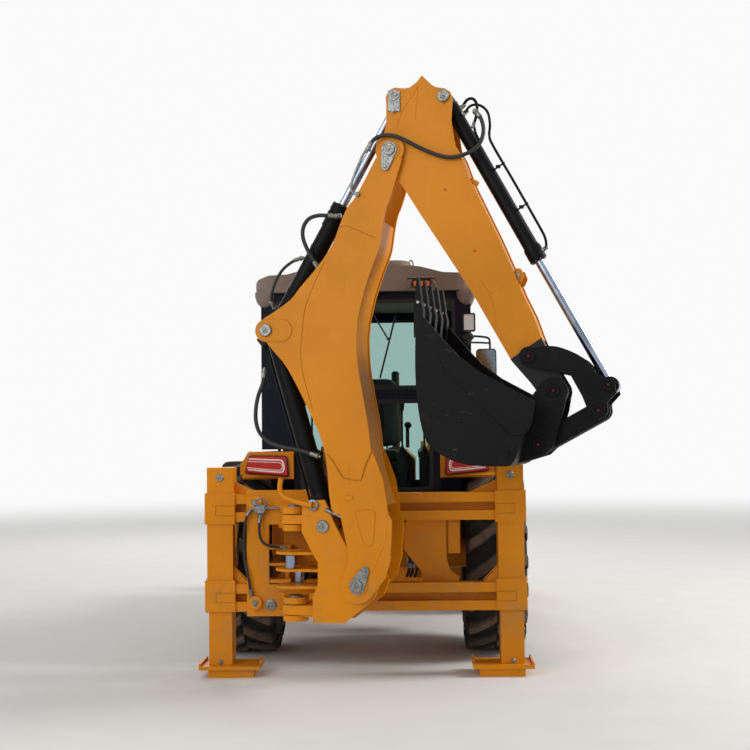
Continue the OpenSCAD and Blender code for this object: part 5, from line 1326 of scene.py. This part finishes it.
class BACKHOE_OT_arm_plates(bpy.types.Operator):
    """Doublers, pressed panels, tabs, plugs and weld runs of the boom, dipper and kingpost"""
    bl_idname = "backhoe.arm_plates"
    bl_label = "Arm plates"

    # Outlines and runs, as reach and height; the foot's doubler ends in a line shaped like a wide V
    FOOT = ((.268, 1.497), (.302, 1.464), (.37, 1.346), (.505, 1.336), (.535, 1.414), (.572, 1.51), (.64, 1.33),
            (.665, 1.16), (.655, .96), (.56, .74), (.435, .7), (.4, .9), (.33, 1.23))
    PRESSED = ((.447, 1.14), (.59, 1.148), (.574, .918), (.512, .914))
    BLOCK = ((.386, 1.237), (.442, 1.23), (.442, 1.204), (.386, 1.2))
    BEND = ((.268, 2.725), (.185, 2.554), (.134, 2.423), (.113, 2.273), (.102, 2.122), (.121, 1.99), (.178, 1.782))
    SEAM = ((.376, 2.938), (.421, 2.941), (.482, 2.913), (.602, 2.857))
    FOOT_LINE = ((.268, 1.497), (.302, 1.464), (.378, 1.343), (.413, 1.334), (.495, 1.323), (.522, 1.414),
                 (.566, 1.51))
    PEAK = (((.886, 3.815), (.854, 3.758), (.783, 3.666), (.745, 3.56)), ((.886, 3.815), (.866, 3.6)),
            ((1.27, 2.555), (1.33, 2.48), (1.36, 2.33), (1.355, 2.25)))
    TAB = ((1.47, 2.52), (1.515, 2.535), (1.535, 2.58), (1.515, 2.628), (1.478, 2.632), (1.458, 2.56))
    CLAMP = ((1.205, 3.215), (1.262, 3.188), (1.25, 3.16), (1.196, 3.19))
    PLUGS = ((1.052, 3.141), (1.234, 2.746), (1.054, 3.694))
    RUN = .0022

    def execute(self, context):
        hump = np.array(PINS["hump"])
        parts = arm_plates(drop_plate(hump, hump + [.105, -.004], .074, .072, 14), BOOM_FACE, .007, .003)
        parts += arm_plates(softened(self.PRESSED, .045, 6), BOOM_FACE, .005, .0045)
        parts += arm_plates(softened(self.BLOCK, .006), BOOM_FACE, .01, .003)
        parts += arm_plates(softened(self.FOOT, .018, 4), BOOM_FACE - .002, .0045, .002)
        fitted("boom_doublers", parts, "yellow_paint", "boom")
        # Weld runs at the bends, the seam and the doubler's edge, in a darker yellow: painted shade along their creases
        runs = arm_welds(self.flat_path(self.BEND, 60), BOOM_FACE, self.RUN)
        runs += arm_welds(self.flat_path(self.SEAM, 16), BOOM_FACE, self.RUN)
        runs += arm_welds(self.FOOT_LINE, BOOM_FACE + .004, .0024)
        fitted("boom_welds", runs, "seam_paint", "boom")
        # Dipper: bend lines under its peak and at its belly, tabs on the upper edge and pipe clamp
        runs = [run for route in self.PEAK for run in arm_welds(route, DIPPER_FACE, self.RUN)]
        fitted("dipper_welds", runs, "dipper_paint", "dipper")
        tabs = [arm_plate(softened(self.TAB, .012), side, .014, .003) for side in (-.085, .071)]
        tabs.append(arm_plate(softened(self.CLAMP, .008), .06, .03, .004))
        fitted("dipper_tabs", tabs, "yellow_paint", "dipper")
        fitted("tab_bolts", [bolt_head(on_arm(1.495, 2.585, .085), NEAR, .011)], "zinc", "dipper")
        # Plugs in a darker yellow: painted shade
        plugs = [drum([(0, .009), (.003, .009), (.004, .007)], on_arm(*at, DIPPER_FACE), NEAR, 14) for at in self.PLUGS]
        fitted("dipper_plugs", plugs, "seam_paint", "dipper")
        # Weld runs where the kingpost's lugs and cranks meet its plates
        runs = [weld_bead([on_arm(.115, z, KINGPOST_FACE), on_arm(.155, z, KINGPOST_FACE)], .004)
                for z in (1.104, .868, .76, .652, .526, .466)]
        fitted("kingpost_welds", runs, "yellow_paint", "kingpost")
        return {"FINISHED"}

    def flat_path(self, points, count):
        """Smooth path through points of reach and height."""
        return smooth_path([(e, z, 0) for e, z in points], count)[:, :2]


class BACKHOE_OT_cylinders(bpy.types.Operator):
    """Glands, wipers, ports, pipes and weld rings of the hydraulic cylinders"""
    bl_idname = "backhoe.cylinders"
    bl_label = "Cylinders"

    # Name, eye pin, rod pin, length of the barrel, its radius, the rod's, and the weld ring's distance from the eye
    ARM = (("boom", "hump", "king", 1.2001, .062, .029, .06), ("dipper", "hump", "head", .935, .058, .029, .142),
           ("bucket", "base", "lug", 1.1924, .048, .029, .06))
    # Body, distance from the middle, the two pins (forward, up), and the same four lengths
    LOADER = (("lift_barrels", .525, (1.15, .76), (2.3, 1.1), 1.0, .05, .024, .05),
              ("tilt_barrels", .402, (1.6, 1.44), (2.5468, 1.4727), .7, .038, .02, .045))
    # Pipes of the bucket cylinder, as distance along it, off it and to the near side: the one to the gland, the
    # short loop at the base and the stay between them; then their ports and clips
    TO_GLAND = ((.135, .06, .03), (.12, .115, .034), (.15, .165, .036), (.215, .185, .036), (.29, .16, .036),
                (.35, .122, .034), (.42, .11, .03), (.7, .11, .026), (1.0, .108, .022), (1.09, .104, .02),
                (1.14, .085, .016), (1.152, .062, .012))
    LOOP = ((.08, .06, -.02), (.062, .112, -.004), (.085, .148, .02), (.14, .15, .045), (.2, .115, .056),
            (.245, .07, .06))
    STAY = ((.245, .072, .06), (.3, .055, .048), (.36, .052, .03))
    PORTS = ((.135, .046, .022), (.08, .046, -.016), (1.152, .046, .01))
    CLIPS = (.55, .85)
    # Pipe up the back of the boom cylinder, in the same measures
    BOOM_PIPE = ((.12, .058, -.03), (.135, .082, -.032), (.2, .088, -.032), (.6, .088, -.032),
                 (1.05, .088, -.032), (1.14, .084, -.03), (1.16, .058, -.028))
    # Elbows of the dipper cylinder on the arm: route, radius, points, and the nut's place or none
    ELBOWS = ((((.315, 3.02, .092), (.335, 3.022, .086), (.345, 3.024, .068), (.346, 3.026, .05)), .011, 16,
               (.346, 3.026, .062)),
              (((.2, 2.7, .092), (.205, 2.68, .086), (.208, 2.672, .066), (.208, 2.67, .04)), .011, 16,
               (.208, 2.671, .056)),
              (((.0935, 2.767, .0267), (.089, 2.7705, .03), (.078, 2.7725, .034), (.062, 2.768, .036)), .0105, 20,
               None),
              (((-.118, 2.457, .04), (-.112, 2.446, .037), (-.106, 2.4385, .0325), (-.1, 2.4345, .028)), .0105, 20,
               None))
    # Short pipe from the boom's top edge to the hose over the dipper's head
    LEAD = ((.492, 3.14, .172), (.47, 3.146, .172), (.455, 3.166, .172), (.456, 3.209, .172), (.479, 3.27, .172),
            (.505, 3.33, .172), (.531, 3.384, .172), (.548, 3.408, .172), (.56, 3.418, .18), (.568, 3.424, .186))

    def execute(self, context):
        for name, start, end, *lengths in self.ARM:
            body = name + "_barrel"
            black, zinc, wiper, _ = self.head_and_foot(on_arm(*PINS[start]), on_arm(*PINS[end]), *lengths)
            fitted(body + "_gland", black, "black_paint", body)
            fitted(body + "_bolts", zinc, "zinc", body)
            fitted(body + "_wiper", [wiper], "trim_plastic", body)
        self.arm_pipes()
        for body, x, start, end, *lengths in self.LOADER:
            start, end = on_machine(x, *start), on_machine(x, *end)
            (gland, ring), zinc, wiper, heading = self.head_and_foot(start, end, *lengths)
            side = np.cross(heading, OUT)
            length, r = lengths[:2]
            for along in (.1, length - .1):
                zinc += self.port(start + heading * along - side * (r - .002), -side, .011)
            fitted(body + "_glands", both_sides([gland, wiper, ring]), "black_paint", body)
            fitted(body + "_bolts", both_sides(zinc), "zinc", body)
        return {"FINISHED"}

    def head_and_foot(self, start, end, length, r, rod, foot):
        """Screwed gland with two grooves and its ring of bolts, the scraper in it, and the eye's weld bead, each
        a profile turned about the rod."""
        heading = (end - start) / np.linalg.norm(end - start)
        head, out = start + heading * length, r + .0065
        profile = [(-.1, r - .002), (-.1, out - .004), (-.08, out + .002), (-.058, out + .002),
                   (-.056, out - .002), (-.05, out - .002), (-.048, out + .002), (-.02, out + .002), (-.018, out),
                   (-.012, out), (-.01, out + .002), (-.002, out + .002), (.002, out - .002), (.002, rod + .006),
                   (0.0, rod + .002)]
        across = np.cross(heading, UP)
        across /= np.linalg.norm(across)
        over = np.cross(heading, across)
        bolts = [bolt_head(head + heading * .002 + (out - .01) * (math.cos(a) * across + math.sin(a) * over),
                           heading, .0055) for a in 2 * math.pi * (np.arange(8) + .5) / 8]
        bead = [(.006 * math.sin(t), r - .002 + .006 * math.cos(t)) for t in np.linspace(-.5 * np.pi, .5 * np.pi, 7)]
        scraper = [(.001, rod + .007), (.008, rod + .006), (.01, rod + .002), (.01, rod + .0006)]
        return ([revolved(profile, head, heading, 40), revolved(bead, start + heading * foot, heading, 40)], bolts,
                revolved(scraper, head, heading, 28), heading)

    def port(self, at, outward, r=.015):
        """Welded boss with a hexagon fitting on it."""
        return (revolved([(-.005, r + .004), (.008, r + .004), (.01, r + .002), (.01, 0)], at, outward, 16),
                drum([(.008, r), (.024, r), (.027, r * .8)], at, outward, 6),
                drum([(.024, r * .72), (.04, r * .72), (.042, r * .6)], at, outward, 14))

    def beside(self, eye, rod, hand):
        """Function that gives places beside a cylinder, from distances along it, off it and to the near side."""
        eye, rod = np.array(PINS[eye]), np.array(PINS[rod])
        along = (rod - eye) / np.linalg.norm(rod - eye)
        off = np.array([-along[1], along[0]]) * (1 if -along[1] * hand > 0 else -1)
        return lambda distance, out, side: on_arm(*(eye + distance * along + out * off), side)

    def arm_pipes(self):
        """Steel pipes that run beside the barrels, with ports at their ends."""
        by_bucket = self.beside("base", "lug", 1)
        loop = path_of(self.LOOP, 60, by_bucket)
        pipes = [pipe(self.TO_GLAND, 110, .0085, 12, by_bucket), tube(loop, .0095, 12),
                 pipe(self.STAY, 18, .0085, 12, by_bucket)]
        fitted("bucket_pipes", pipes, "black_paint", "bucket_barrel")
        nuts = []
        for along, off, side in self.PORTS:
            at = by_bucket(along, off, side)
            nuts += self.port(at, by_bucket(along, off + 1, side) - at)
        for at, away in ((loop[0], loop[1] - loop[0]), (loop[-1], loop[-1] - loop[-2])):
            nuts.append(drum([(-.018, .012), (.018, .012), (.02, .01)], at, away, 12))
        fitted("bucket_ports", nuts, "zinc", "bucket_barrel")
        clips = [slab(rounded(.014, .01, .004), by_bucket(s, .072, .012), REACH, UP, .026, .003) for s in self.CLIPS]
        clips += [tube(np.array([by_bucket(s, .046, .012), by_bucket(s, .12, .03)]), .006, 8) for s in self.CLIPS]
        fitted("bucket_clips", clips, "black_paint", "bucket_barrel")
        zinc = []
        for route, radius, count, nut in self.ELBOWS:
            zinc.append(pipe(route, count, radius, 12, on_arm))
            if nut:
                zinc.append(drum([(-.012, .018), (.012, .018)], on_arm(*nut), NEAR, 6))
        fitted("dipper_elbows", zinc, "zinc", "dipper_barrel")
        by_dipper = self.beside("hump", "head", 1)
        bands = [revolved([(-.012, .0575), (-.012, .0605), (.012, .0605), (.012, .0575)], by_dipper(along, 0, 0),
                          by_dipper(1, 0, 0) - by_dipper(0, 0, 0), 36) for along in (.3, .62)]
        fitted("dipper_bands", bands, "black_paint", "dipper_barrel")
        back = pipe(self.BOOM_PIPE, 70, .0085, 12, self.beside("hump", "king", -1))
        fitted("boom_cylinder_pipe", [back], "black_paint", "boom_barrel")
        union = drum([(0, .017), (.018, .017), (.02, .013)], on_arm(.492, 3.14, .159), NEAR, 6)
        fitted("head_lead", [pipe(self.LEAD, 40, .0085, 12, on_arm), union], "zinc", "boom")


class BACKHOE_OT_bucket_irons(bpy.types.Operator):
    """Side plates, wear straps, bolts and tooth pins of the digging bucket"""
    bl_idname = "backhoe.bucket_irons"
    bl_label = "Digging bucket irons"

    # Outer side plate: along the mouth, round the hinge end and back by a slanting edge
    SIDE = ((1.062, 2.185), (1.168, 2.082), (1.306, 1.975), (1.465, 1.886), (1.606, 1.812), (1.63, 1.79),
            (1.618, 1.715), (1.603, 1.655), (1.576, 1.614), (1.55, 1.6), (1.488, 1.595), (1.37, 1.71),
            (1.28, 1.791), (1.093, 1.99), (1.04, 2.12))
    BOLTS = ((1.458, 1.493), (1.5, 1.493))
    # The floor's curve from the bucket's pin
    FLOOR = ((-.8015, .1, 0), (-.787, -.099, 0), (-.742, -.291, 0), (-.659, -.373, 0), (-.523, -.429, 0),
             (-.339, -.444, 0), (-.24, -.441, 0))

    def execute(self, context):
        pin, half = np.array(PINS["bucket"]), BUCKET_HALF
        black, steel = [], []
        for hand, side in ((1, half), (-1, -half - .009)):
            black.append(arm_plate(softened(self.SIDE, .012), side, .009, .003))
            for bolt in self.BOLTS:
                steel.append(revolved([(0, 0), (0, .017), (.003, .017), (.004, 0)], on_arm(*bolt, hand * half),
                                      NEAR * hand, 18))
                black.append(bolt_head(on_arm(*bolt, hand * (half + .003)), NEAR * hand, .0125))
        # Wear straps: a strip 8 mm thick that follows the floor's curve
        floor = smooth_path(self.FLOOR, 34)[:, :2]
        heading = np.gradient(floor, axis=0)
        heading /= np.linalg.norm(heading, axis=1)[:, None]
        out = np.stack([heading[:, 1], -heading[:, 0]], 1)
        out *= -np.sign(out[0, 0])
        strap = pin + np.concatenate([floor + out * .008, (floor - out * .002)[::-1]])
        black += [arm_plate(strap, side, .06, .002) for side in (-.335, -.03, .275)]
        fitted("bucket_cutters", black, "dug_paint", "backhoe_bucket")
        fitted("bucket_bolts", steel, "bare_steel", "backhoe_bucket")
        # Ends of the five tooth pins
        pins = [drum([(-.037, .009), (.037, .009)], on_arm(*(pin + [-.78, .545]), side), NEAR, 12)
                for side in -half + .035 + np.arange(5) * (2 * half - .07) / 4]
        fitted("tooth_pins", pins, "bare_steel", "backhoe_bucket")
        return {"FINISHED"}


class BACKHOE_OT_rear_fittings(bpy.types.Operator):
    """Pin heads, clamp bosses, valve, pipes, boxes and weld runs of the slide frame and carriage"""
    bl_idname = "backhoe.rear_fittings"
    bl_label = "Rear fittings"

    # Weld runs on the frame: radius and points
    SLANTS = tuple((.004, (.868, -1.0955, z), (.881, -1.1, z))
                   for z in (1.154, 1.221, 1.04, 1.1, .561, .625, .435, .498))
    COLLARS = tuple((.0035, (.881, COLLAR_FACE, z), (.881, COLLAR_FACE, z + .21)) for z in (.434, 1.021))
    GUSSET = (.004, (.894, -1.056, .735), (.79, -1.056, .628))
    # Fittings of the valve: place across and up, and the way that each points
    FITTINGS = ((-.7, 1.157, UP), (-.735, 1.125, (-1, 0, 0)), (-.664, 1.13, OUT), (-.69, 1.094, (0, 0, -1)))
    LOOP = ((-.735, CARRIAGE_FACE - .03, 1.15), (-.722, CARRIAGE_FACE - .04, 1.188),
            (-.69, CARRIAGE_FACE - .044, 1.2), (-.658, CARRIAGE_FACE - .04, 1.18),
            (-.65, CARRIAGE_FACE - .032, 1.14))

    def execute(self, context):
        heads = [pin_head(on_machine(.9825, -1.095, 1.336), BACK, .026, .01)]
        heads += [bolt_head(on_machine(1.084, -1.0, z), OUT, .01) for z in (.64, .424, 1.036, 1.222)]
        fitted("post_pins", both_sides(heads), "zinc")
        pin = [pin_head(on_machine(.9825, -1.0857, .0965), BACK, .0165, .01)]
        lip = [machine_weld(.004, (.906, -1.087, .082), (1.059, -1.087, .082))]
        for hand in ("left", "right"):
            name = "stabiliser_" + hand
            fitted(name + "_pin", on_hand(pin, hand), "zinc", name)
            fitted(name + "_weld", on_hand(lip, hand), "yellow_paint", name)
        # Pressed panels of the collars: three edges each, thin runs in a darker yellow that is painted shade in their
        # creases
        edges = []
        for low_z, high_z in ((.496, .56), (1.08, 1.145)):
            corners = [(x, COLLAR_FACE, z) for x, z in ((.884, low_z), (1.009, low_z), (1.009, high_z), (.884, high_z))]
            edges += [machine_weld(.0022, *corners[k:k + 2]) for k in range(3)]
        fitted("collar_edges", both_sides(edges), "seam_paint")
        runs = [machine_weld(*run) for run in (*self.SLANTS, *self.COLLARS, self.GUSSET)]
        fitted("frame_welds", both_sides(runs), "yellow_paint")
        self.carriage_fittings()
        self.chassis_pipes()
        return {"FINISHED"}

    def carriage_fittings(self):
        """Clamp bosses with their nuts, the small valve with its pipes, and the swing pins' collars."""
        face = CARRIAGE_FACE
        zinc, yellow = [], []
        # Clamps at the corners: boss, washer and nut
        for x, z in ((-.735, .5), (-.735, 1.165), (-.145, .5), (-.145, 1.165)):
            yellow.append(revolved([(-.002, .046), (.03, .046), (.036, .04), (.036, 0)], on_machine(x, face, z),
                                   BACK, 28))
            zinc.append(bolt_head(on_machine(x, face - .036, z), BACK, .016))
        for x in (-.633, -.247):
            zinc.append(drum([(0, .036), (.008, .036), (.01, .033), (.01, .016), (.004, .013)],
                             on_machine(x, face, .485), BACK, 28))
        zinc.append(tile((.036, .03, .006), (-.7, face, 1.125), REAR, .05, .005))
        for x, z, way in self.FITTINGS:
            zinc.append(drum([(0, .012), (.014, .012), (.016, .009), (.03, .008)], on_machine(x, face - .026, z),
                             way, 6))
        zinc += [pipe(self.LOOP, 30, .0045, 8),
                 bar_between(on_machine(-.634, face - .026, 1.13), on_machine(-.56, face - .026, 1.13), .008)]
        fitted("carriage_nuts", zinc, "zinc", "carriage")
        fitted("carriage_bosses", yellow, "yellow_paint", "carriage")
        # Stop collars and lock nuts of the swing pins
        caps = []
        for z in (1.155, .572):
            caps += [drum([(0, .044), (.01, .044), (.014, .04), (.014, .018), (.01, .014)], SWING + [0, 0, z],
                          UP, 32), bolt_head(SWING + [.058, 0, z], UP, .01)]
        fitted("swing_pin_caps", caps, "zinc", "carriage")

    def chassis_pipes(self):
        """Three pipes with their nuts behind the chassis's crossmember, and a box on each side."""
        pipes, nuts = [], []
        for x in (.296, .322, .35):
            path = path_of(((x - .02, -.9, .64), (x, -.935, .7), (x + .004, -.95, .82), (x - .004, -.95, .94),
                            (x, -.925, 1.02), (x - .01, -.88, 1.05)), 40)
            pipes.append(tube(path, .011, 12))
            nuts += [drum([(-.014, .016), (.014, .016)], path[q], path[q + 1] - path[q - 1], 6) for q in (8, 31)]
        nuts.append(tile((.045, .03, .006), (.322, -.905, .745), REAR, .035, .004))
        fitted("chassis_pipes", pipes, "hose_rubber")
        fitted("chassis_pipe_nuts", nuts, "zinc")
        box = [tile((.045, .115, .01), (.6, -.9, .915), REAR, .055, .006),
               tile((.036, .1, .008), (.6, -.955, .915), REAR, .004, .002)]
        fitted("tool_boxes", both_sides(box), "yellow_paint")


class BACKHOE_OT_loader_fittings(bpy.types.Operator):
    """Pins, pipes and clamps of the loader arms, and cutting edge, lip and ribs of their bucket"""
    bl_idname = "backhoe.loader_fittings"
    bl_label = "Loader fittings"

    PIPE = ((1.18, 1.48), (1.215, 1.5), (1.3, 1.4925), (1.9, 1.4365), (2.48, 1.3825), (2.59, 1.362),
            (2.7, 1.305))

    def execute(self, context):
        tower = [pin_head(on_machine(.608, 1.12, 1.44), OUT, .038, .014),
                 pin_head(on_machine(.608, 1.15, .76), OUT, .038, .014),
                 bolt_head(on_machine(.608, 1.185, 1.4), OUT, .012)]
        scoop = [pin_head(on_machine(.609, 3.33, .3), OUT, .038, .012),
                 bolt_head(on_machine(.609, 3.385, .33), OUT, .012)]
        arms = [pin_head(on_machine(.58, 2.3, 1.1), OUT, .03, .01),
                bar_between(on_machine(.466, 2.3, 1.1), on_machine(.582, 2.3, 1.1), .0247)]
        pipes = [pipe([(x, *point) for point in self.PIPE], 70, .009, 12) for x in (.507, .543)]
        clamps = [tile((.032, .012, .006), (.525, y + .012, 1.5 - (y - 1.06) * .14 / 1.5 + .012), REAR, .024, .003)
                  for y in (1.38, 1.75, 2.12, 2.45)]
        for name, parts, finish, body in (("tower_pins", tower, "zinc", "machine"),
                                          ("scoop_pins", scoop, "zinc", "loader_bucket"),
                                          ("arm_pin_heads", arms, "zinc", "loader_arms"),
                                          ("loader_pipes", pipes, "black_paint", "loader_arms"),
                                          ("loader_clamps", clamps, "zinc", "loader_arms")):
            fitted(name, both_sides(parts), finish, body)
        # Cutting edge bolted on the floor, the rolled upper lip, and ribs on the back
        edge = [(-1.13, 3.96), (1.13, 3.96), (1.13, 4.165), (-1.13, 4.165)]
        bolts = [bolt_head(on_machine(x, 4.015, .033), UP, .016) for x in np.linspace(-1.05, 1.05, 9)]
        fitted("scoop_edge", [panel(edge, (0, 0, .015), TOP, .018, .004)] + bolts, "bare_steel", "loader_bucket")
        lip = tube(straight_path([on_machine(-1.148, 3.512, .9), on_machine(1.148, 3.512, .9)], 6), .02, 16)
        rib = [(3.466, .2), (3.466, .7), (3.44, .66), (3.44, .24)]
        ribs = [panel(rib, (x - .006, 0, 0), RIGHT, .012, .002) for x in (-.8, -.22, .22, .8)]
        hook = panel([(3.466, .54), (3.466, .7), (3.415, .665), (3.415, .575)], (.62, 0, 0), RIGHT, .46, .004)
        fitted("scoop_ribs", [lip] + ribs + both_sides([hook]), "yellow_paint", "loader_bucket")
        return {"FINISHED"}


class BACKHOE_OT_body_fittings(bpy.types.Operator):
    """Louvre blades, latches, grip, step cleats, filler cap, rail bolts, engine ribs and fender beads"""
    bl_idname = "backhoe.body_fittings"
    bl_label = "Body fittings"

    # Radius of the fenders' edges and height of the rear axle that they turn about; radius of the filler cap
    FENDER, AXLE_UP, CAP = .78, .715, .055

    def execute(self, context):
        # One slanted blade in each of the louvre's slots: a flat strip carried up the slot
        blades = []
        for y in 1.29 + .075 * np.arange(7):
            blade = [(.326, y + .002), (.31, y + .03), (.316, y + .03), (.332, y + .002)]
            blades.append(panel(blade, (0, 0, 1.141), TOP, .168, .0006))
        fitted("hood_louvres", both_sides(blades), "trim_plastic")
        latches = []
        for y in (1.12, 2.12):
            latches += [tile((.02, .034, .008), (.3352, y, 1.12), RIGHT, .01, .003),
                        tile((.006, .022, .004), (.3452, y, 1.118), RIGHT, .008, .002)]
        fitted("hood_latches", both_sides(latches), "trim_plastic")
        grip = ((-.07, 2.05, 1.497), (-.068, 2.05, 1.525), (0, 2.05, 1.532), (.068, 2.05, 1.525), (.07, 2.05, 1.497))
        fitted("hood_grip", [pipe(grip, 26, .008, 12)], "trim_plastic")
        cleats = [tile((.075, .007, .004), (.678, .8 + .036 * k, z - .001), TOP, .007, .002)
                  for z in (.465, .725) for k in range(6)]
        fitted("step_cleats", both_sides(cleats), "zinc")
        # Filler cap with ten grips round it
        at = on_machine(.47, .86, .949)
        r = self.CAP
        cap = [drum([(0, r - .005), (.01, r), (.034, r), (.04, r - .005)], at, UP, 28)]
        for a in 2 * math.pi * np.arange(10) / 10:
            grip = at + [r * math.cos(a), r * math.sin(a), .011]
            cap.append(bar_between(grip, grip + [0, 0, .024], .005, 6))
        fitted("filler_cap", cap, "trim_plastic")
        # Bolts along the chassis rails, ribs of the engine block and its sump
        bolts = [bolt_head(on_machine(.33, y, .91), OUT, .013)
                 for y in (-.62, -.54, .55, .63, 1.45, 1.53, 2.3, 2.42)]
        fitted("rail_bolts", both_sides(bolts), "zinc")
        ribs = [tile((.01, .22, .006), (.2295, 1.3 + .075 * k, 1.09), RIGHT, .014, .004) for k in range(9)]
        sump = softened([(1.3, .64), (1.92, .64), (1.94, .765), (1.28, .765)], .03)
        sump = panel(sump, (-.17, 0, 0), RIGHT, .34, .02)
        fitted("engine_ribs", both_sides(ribs) + [sump], "engine_grey")
        # Beads of the fenders: arcs about the rear axle, at both edges of each
        r = self.FENDER
        beads = [tube(np.array([on_machine(x, r * math.cos(t), self.AXLE_UP + r * math.sin(t))
                                for t in np.radians(np.linspace(46, 130, 40))]), .011, 10) for x in (.52, .919)]
        fitted("fender_beads", both_sides(beads), "trim_plastic")
        return {"FINISHED"}


class BACKHOE_OT_roof_trim(bpy.types.Operator):
    """Rounded lobes under the roof's rear corners, the roof hatch and its ring"""
    bl_idname = "backhoe.roof_trim"
    bl_label = "Roof trim"

    # Stations of a lobe: place forward and share of its full size
    STATIONS = ((-.693, .45), (-.69, .72), (-.675, .92), (-.64, 1.0), (-.3, 1.0), (-.2, .92), (-.16, .7),
                (-.15, .4))
    POINTS = 28
    # Its middle and half sizes, across and up, and how much of the half height its upper side keeps
    MIDDLE, HALF, FLAT = (.722, 2.642), (.0725, .108), .12

    def execute(self, context):
        # Lobe: half an ellipse hung under the roof edge, carried forward and drawn in at both ends
        n = self.POINTS
        a = np.linspace(0, 2 * np.pi, n, endpoint=False)
        drop = np.where(np.sin(a) < 0, np.sin(a), self.FLAT * np.sin(a))
        (x, z), (half_x, half_z) = self.MIDDLE, self.HALF
        rings = [on_machine(0, y, 0) + np.stack([x + half_x * k * np.cos(a), 0 * a, z + half_z * k * drop], 1)
                 for y, k in self.STATIONS]
        last = (len(rings) - 1) * n
        faces = grid_faces(len(rings), n, wrap_columns=True) + [list(range(n))[::-1], [last + k for k in range(n)]]
        fitted("roof_lobes", both_sides([(np.array(rings), faces)]), "roof_plastic")
        hatch = revolved([(-.015, .12), (.02, .12), (.046, .112), (.056, .098), (.058, .08), (.052, .07),
                          (.052, 0)], on_machine(.215, -.5, 2.818), UP, 40)
        ring = np.array([on_machine(.33 + .016 * math.cos(t), -.5, 2.85 + .034 * math.sin(t))
                         for t in np.linspace(-.9, math.pi + .9, 22)])
        fitted("roof_hatch", [hatch], "roof_plastic")
        fitted("roof_ring", [tube(ring, .0045, 8)], "trim_plastic")
        return {"FINISHED"}


class BACKHOE_OT_finishes(bpy.types.Operator):
    """Paints, plastics, glass and metals of the pieces that carry over from the frame"""
    bl_idname = "backhoe.finishes"
    bl_label = "Finishes"

    def execute(self, context):
        slots = {part["node"]: part["material_slot"] for part in frame["record"]["subparts"]}
        for name, piece in frame["nodes"].items():
            piece.data.materials.clear()
            piece.data.materials.append(finish_named(OWN_FINISH.get(name, slots[name])))
        return {"FINISHED"}


OPERATORS = (
    BACKHOE_OT_camera, BACKHOE_OT_hoses, BACKHOE_OT_studio, BACKHOE_OT_finishes, BACKHOE_OT_tyres,
    BACKHOE_OT_arm_pins, BACKHOE_OT_lamps, BACKHOE_OT_mirrors, BACKHOE_OT_cab_trim, BACKHOE_OT_cab_inside,
    BACKHOE_OT_arm_plates, BACKHOE_OT_cylinders, BACKHOE_OT_bucket_irons, BACKHOE_OT_rear_fittings,
    BACKHOE_OT_loader_fittings, BACKHOE_OT_body_fittings, BACKHOE_OT_roof_trim,
)


class BACKHOE_PT_panel(bpy.types.Panel):
    """Lists the operators and the values they read"""
    bl_label = "Backhoe Loader"
    bl_idname = "BACKHOE_PT_panel"
    bl_space_type = "VIEW_3D"
    bl_region_type = "UI"
    bl_category = "Backhoe"

    def draw(self, context):
        layout = self.layout
        for name in BackhoeSettings.__annotations__:
            layout.prop(settings(), name)
        for operator in OPERATORS:
            layout.operator(operator.bl_idname)


CLASSES = (BackhoeSettings, *OPERATORS, BACKHOE_PT_panel)


def register():
    """Registers the classes and the scene's values."""
    for each in CLASSES:
        bpy.utils.register_class(each)
    bpy.types.Scene.backhoe = bpy.props.PointerProperty(type=BackhoeSettings)


def unregister():
    """Takes the classes and the scene's values away again."""
    del bpy.types.Scene.backhoe
    for each in reversed(CLASSES):
        bpy.utils.unregister_class(each)


def main():
    """Makes everything."""
    register()
    for operator in OPERATORS:
        group, name = operator.bl_idname.split(".")
        getattr(getattr(bpy.ops, group), name)()


if __name__ == "__main__":
    main()
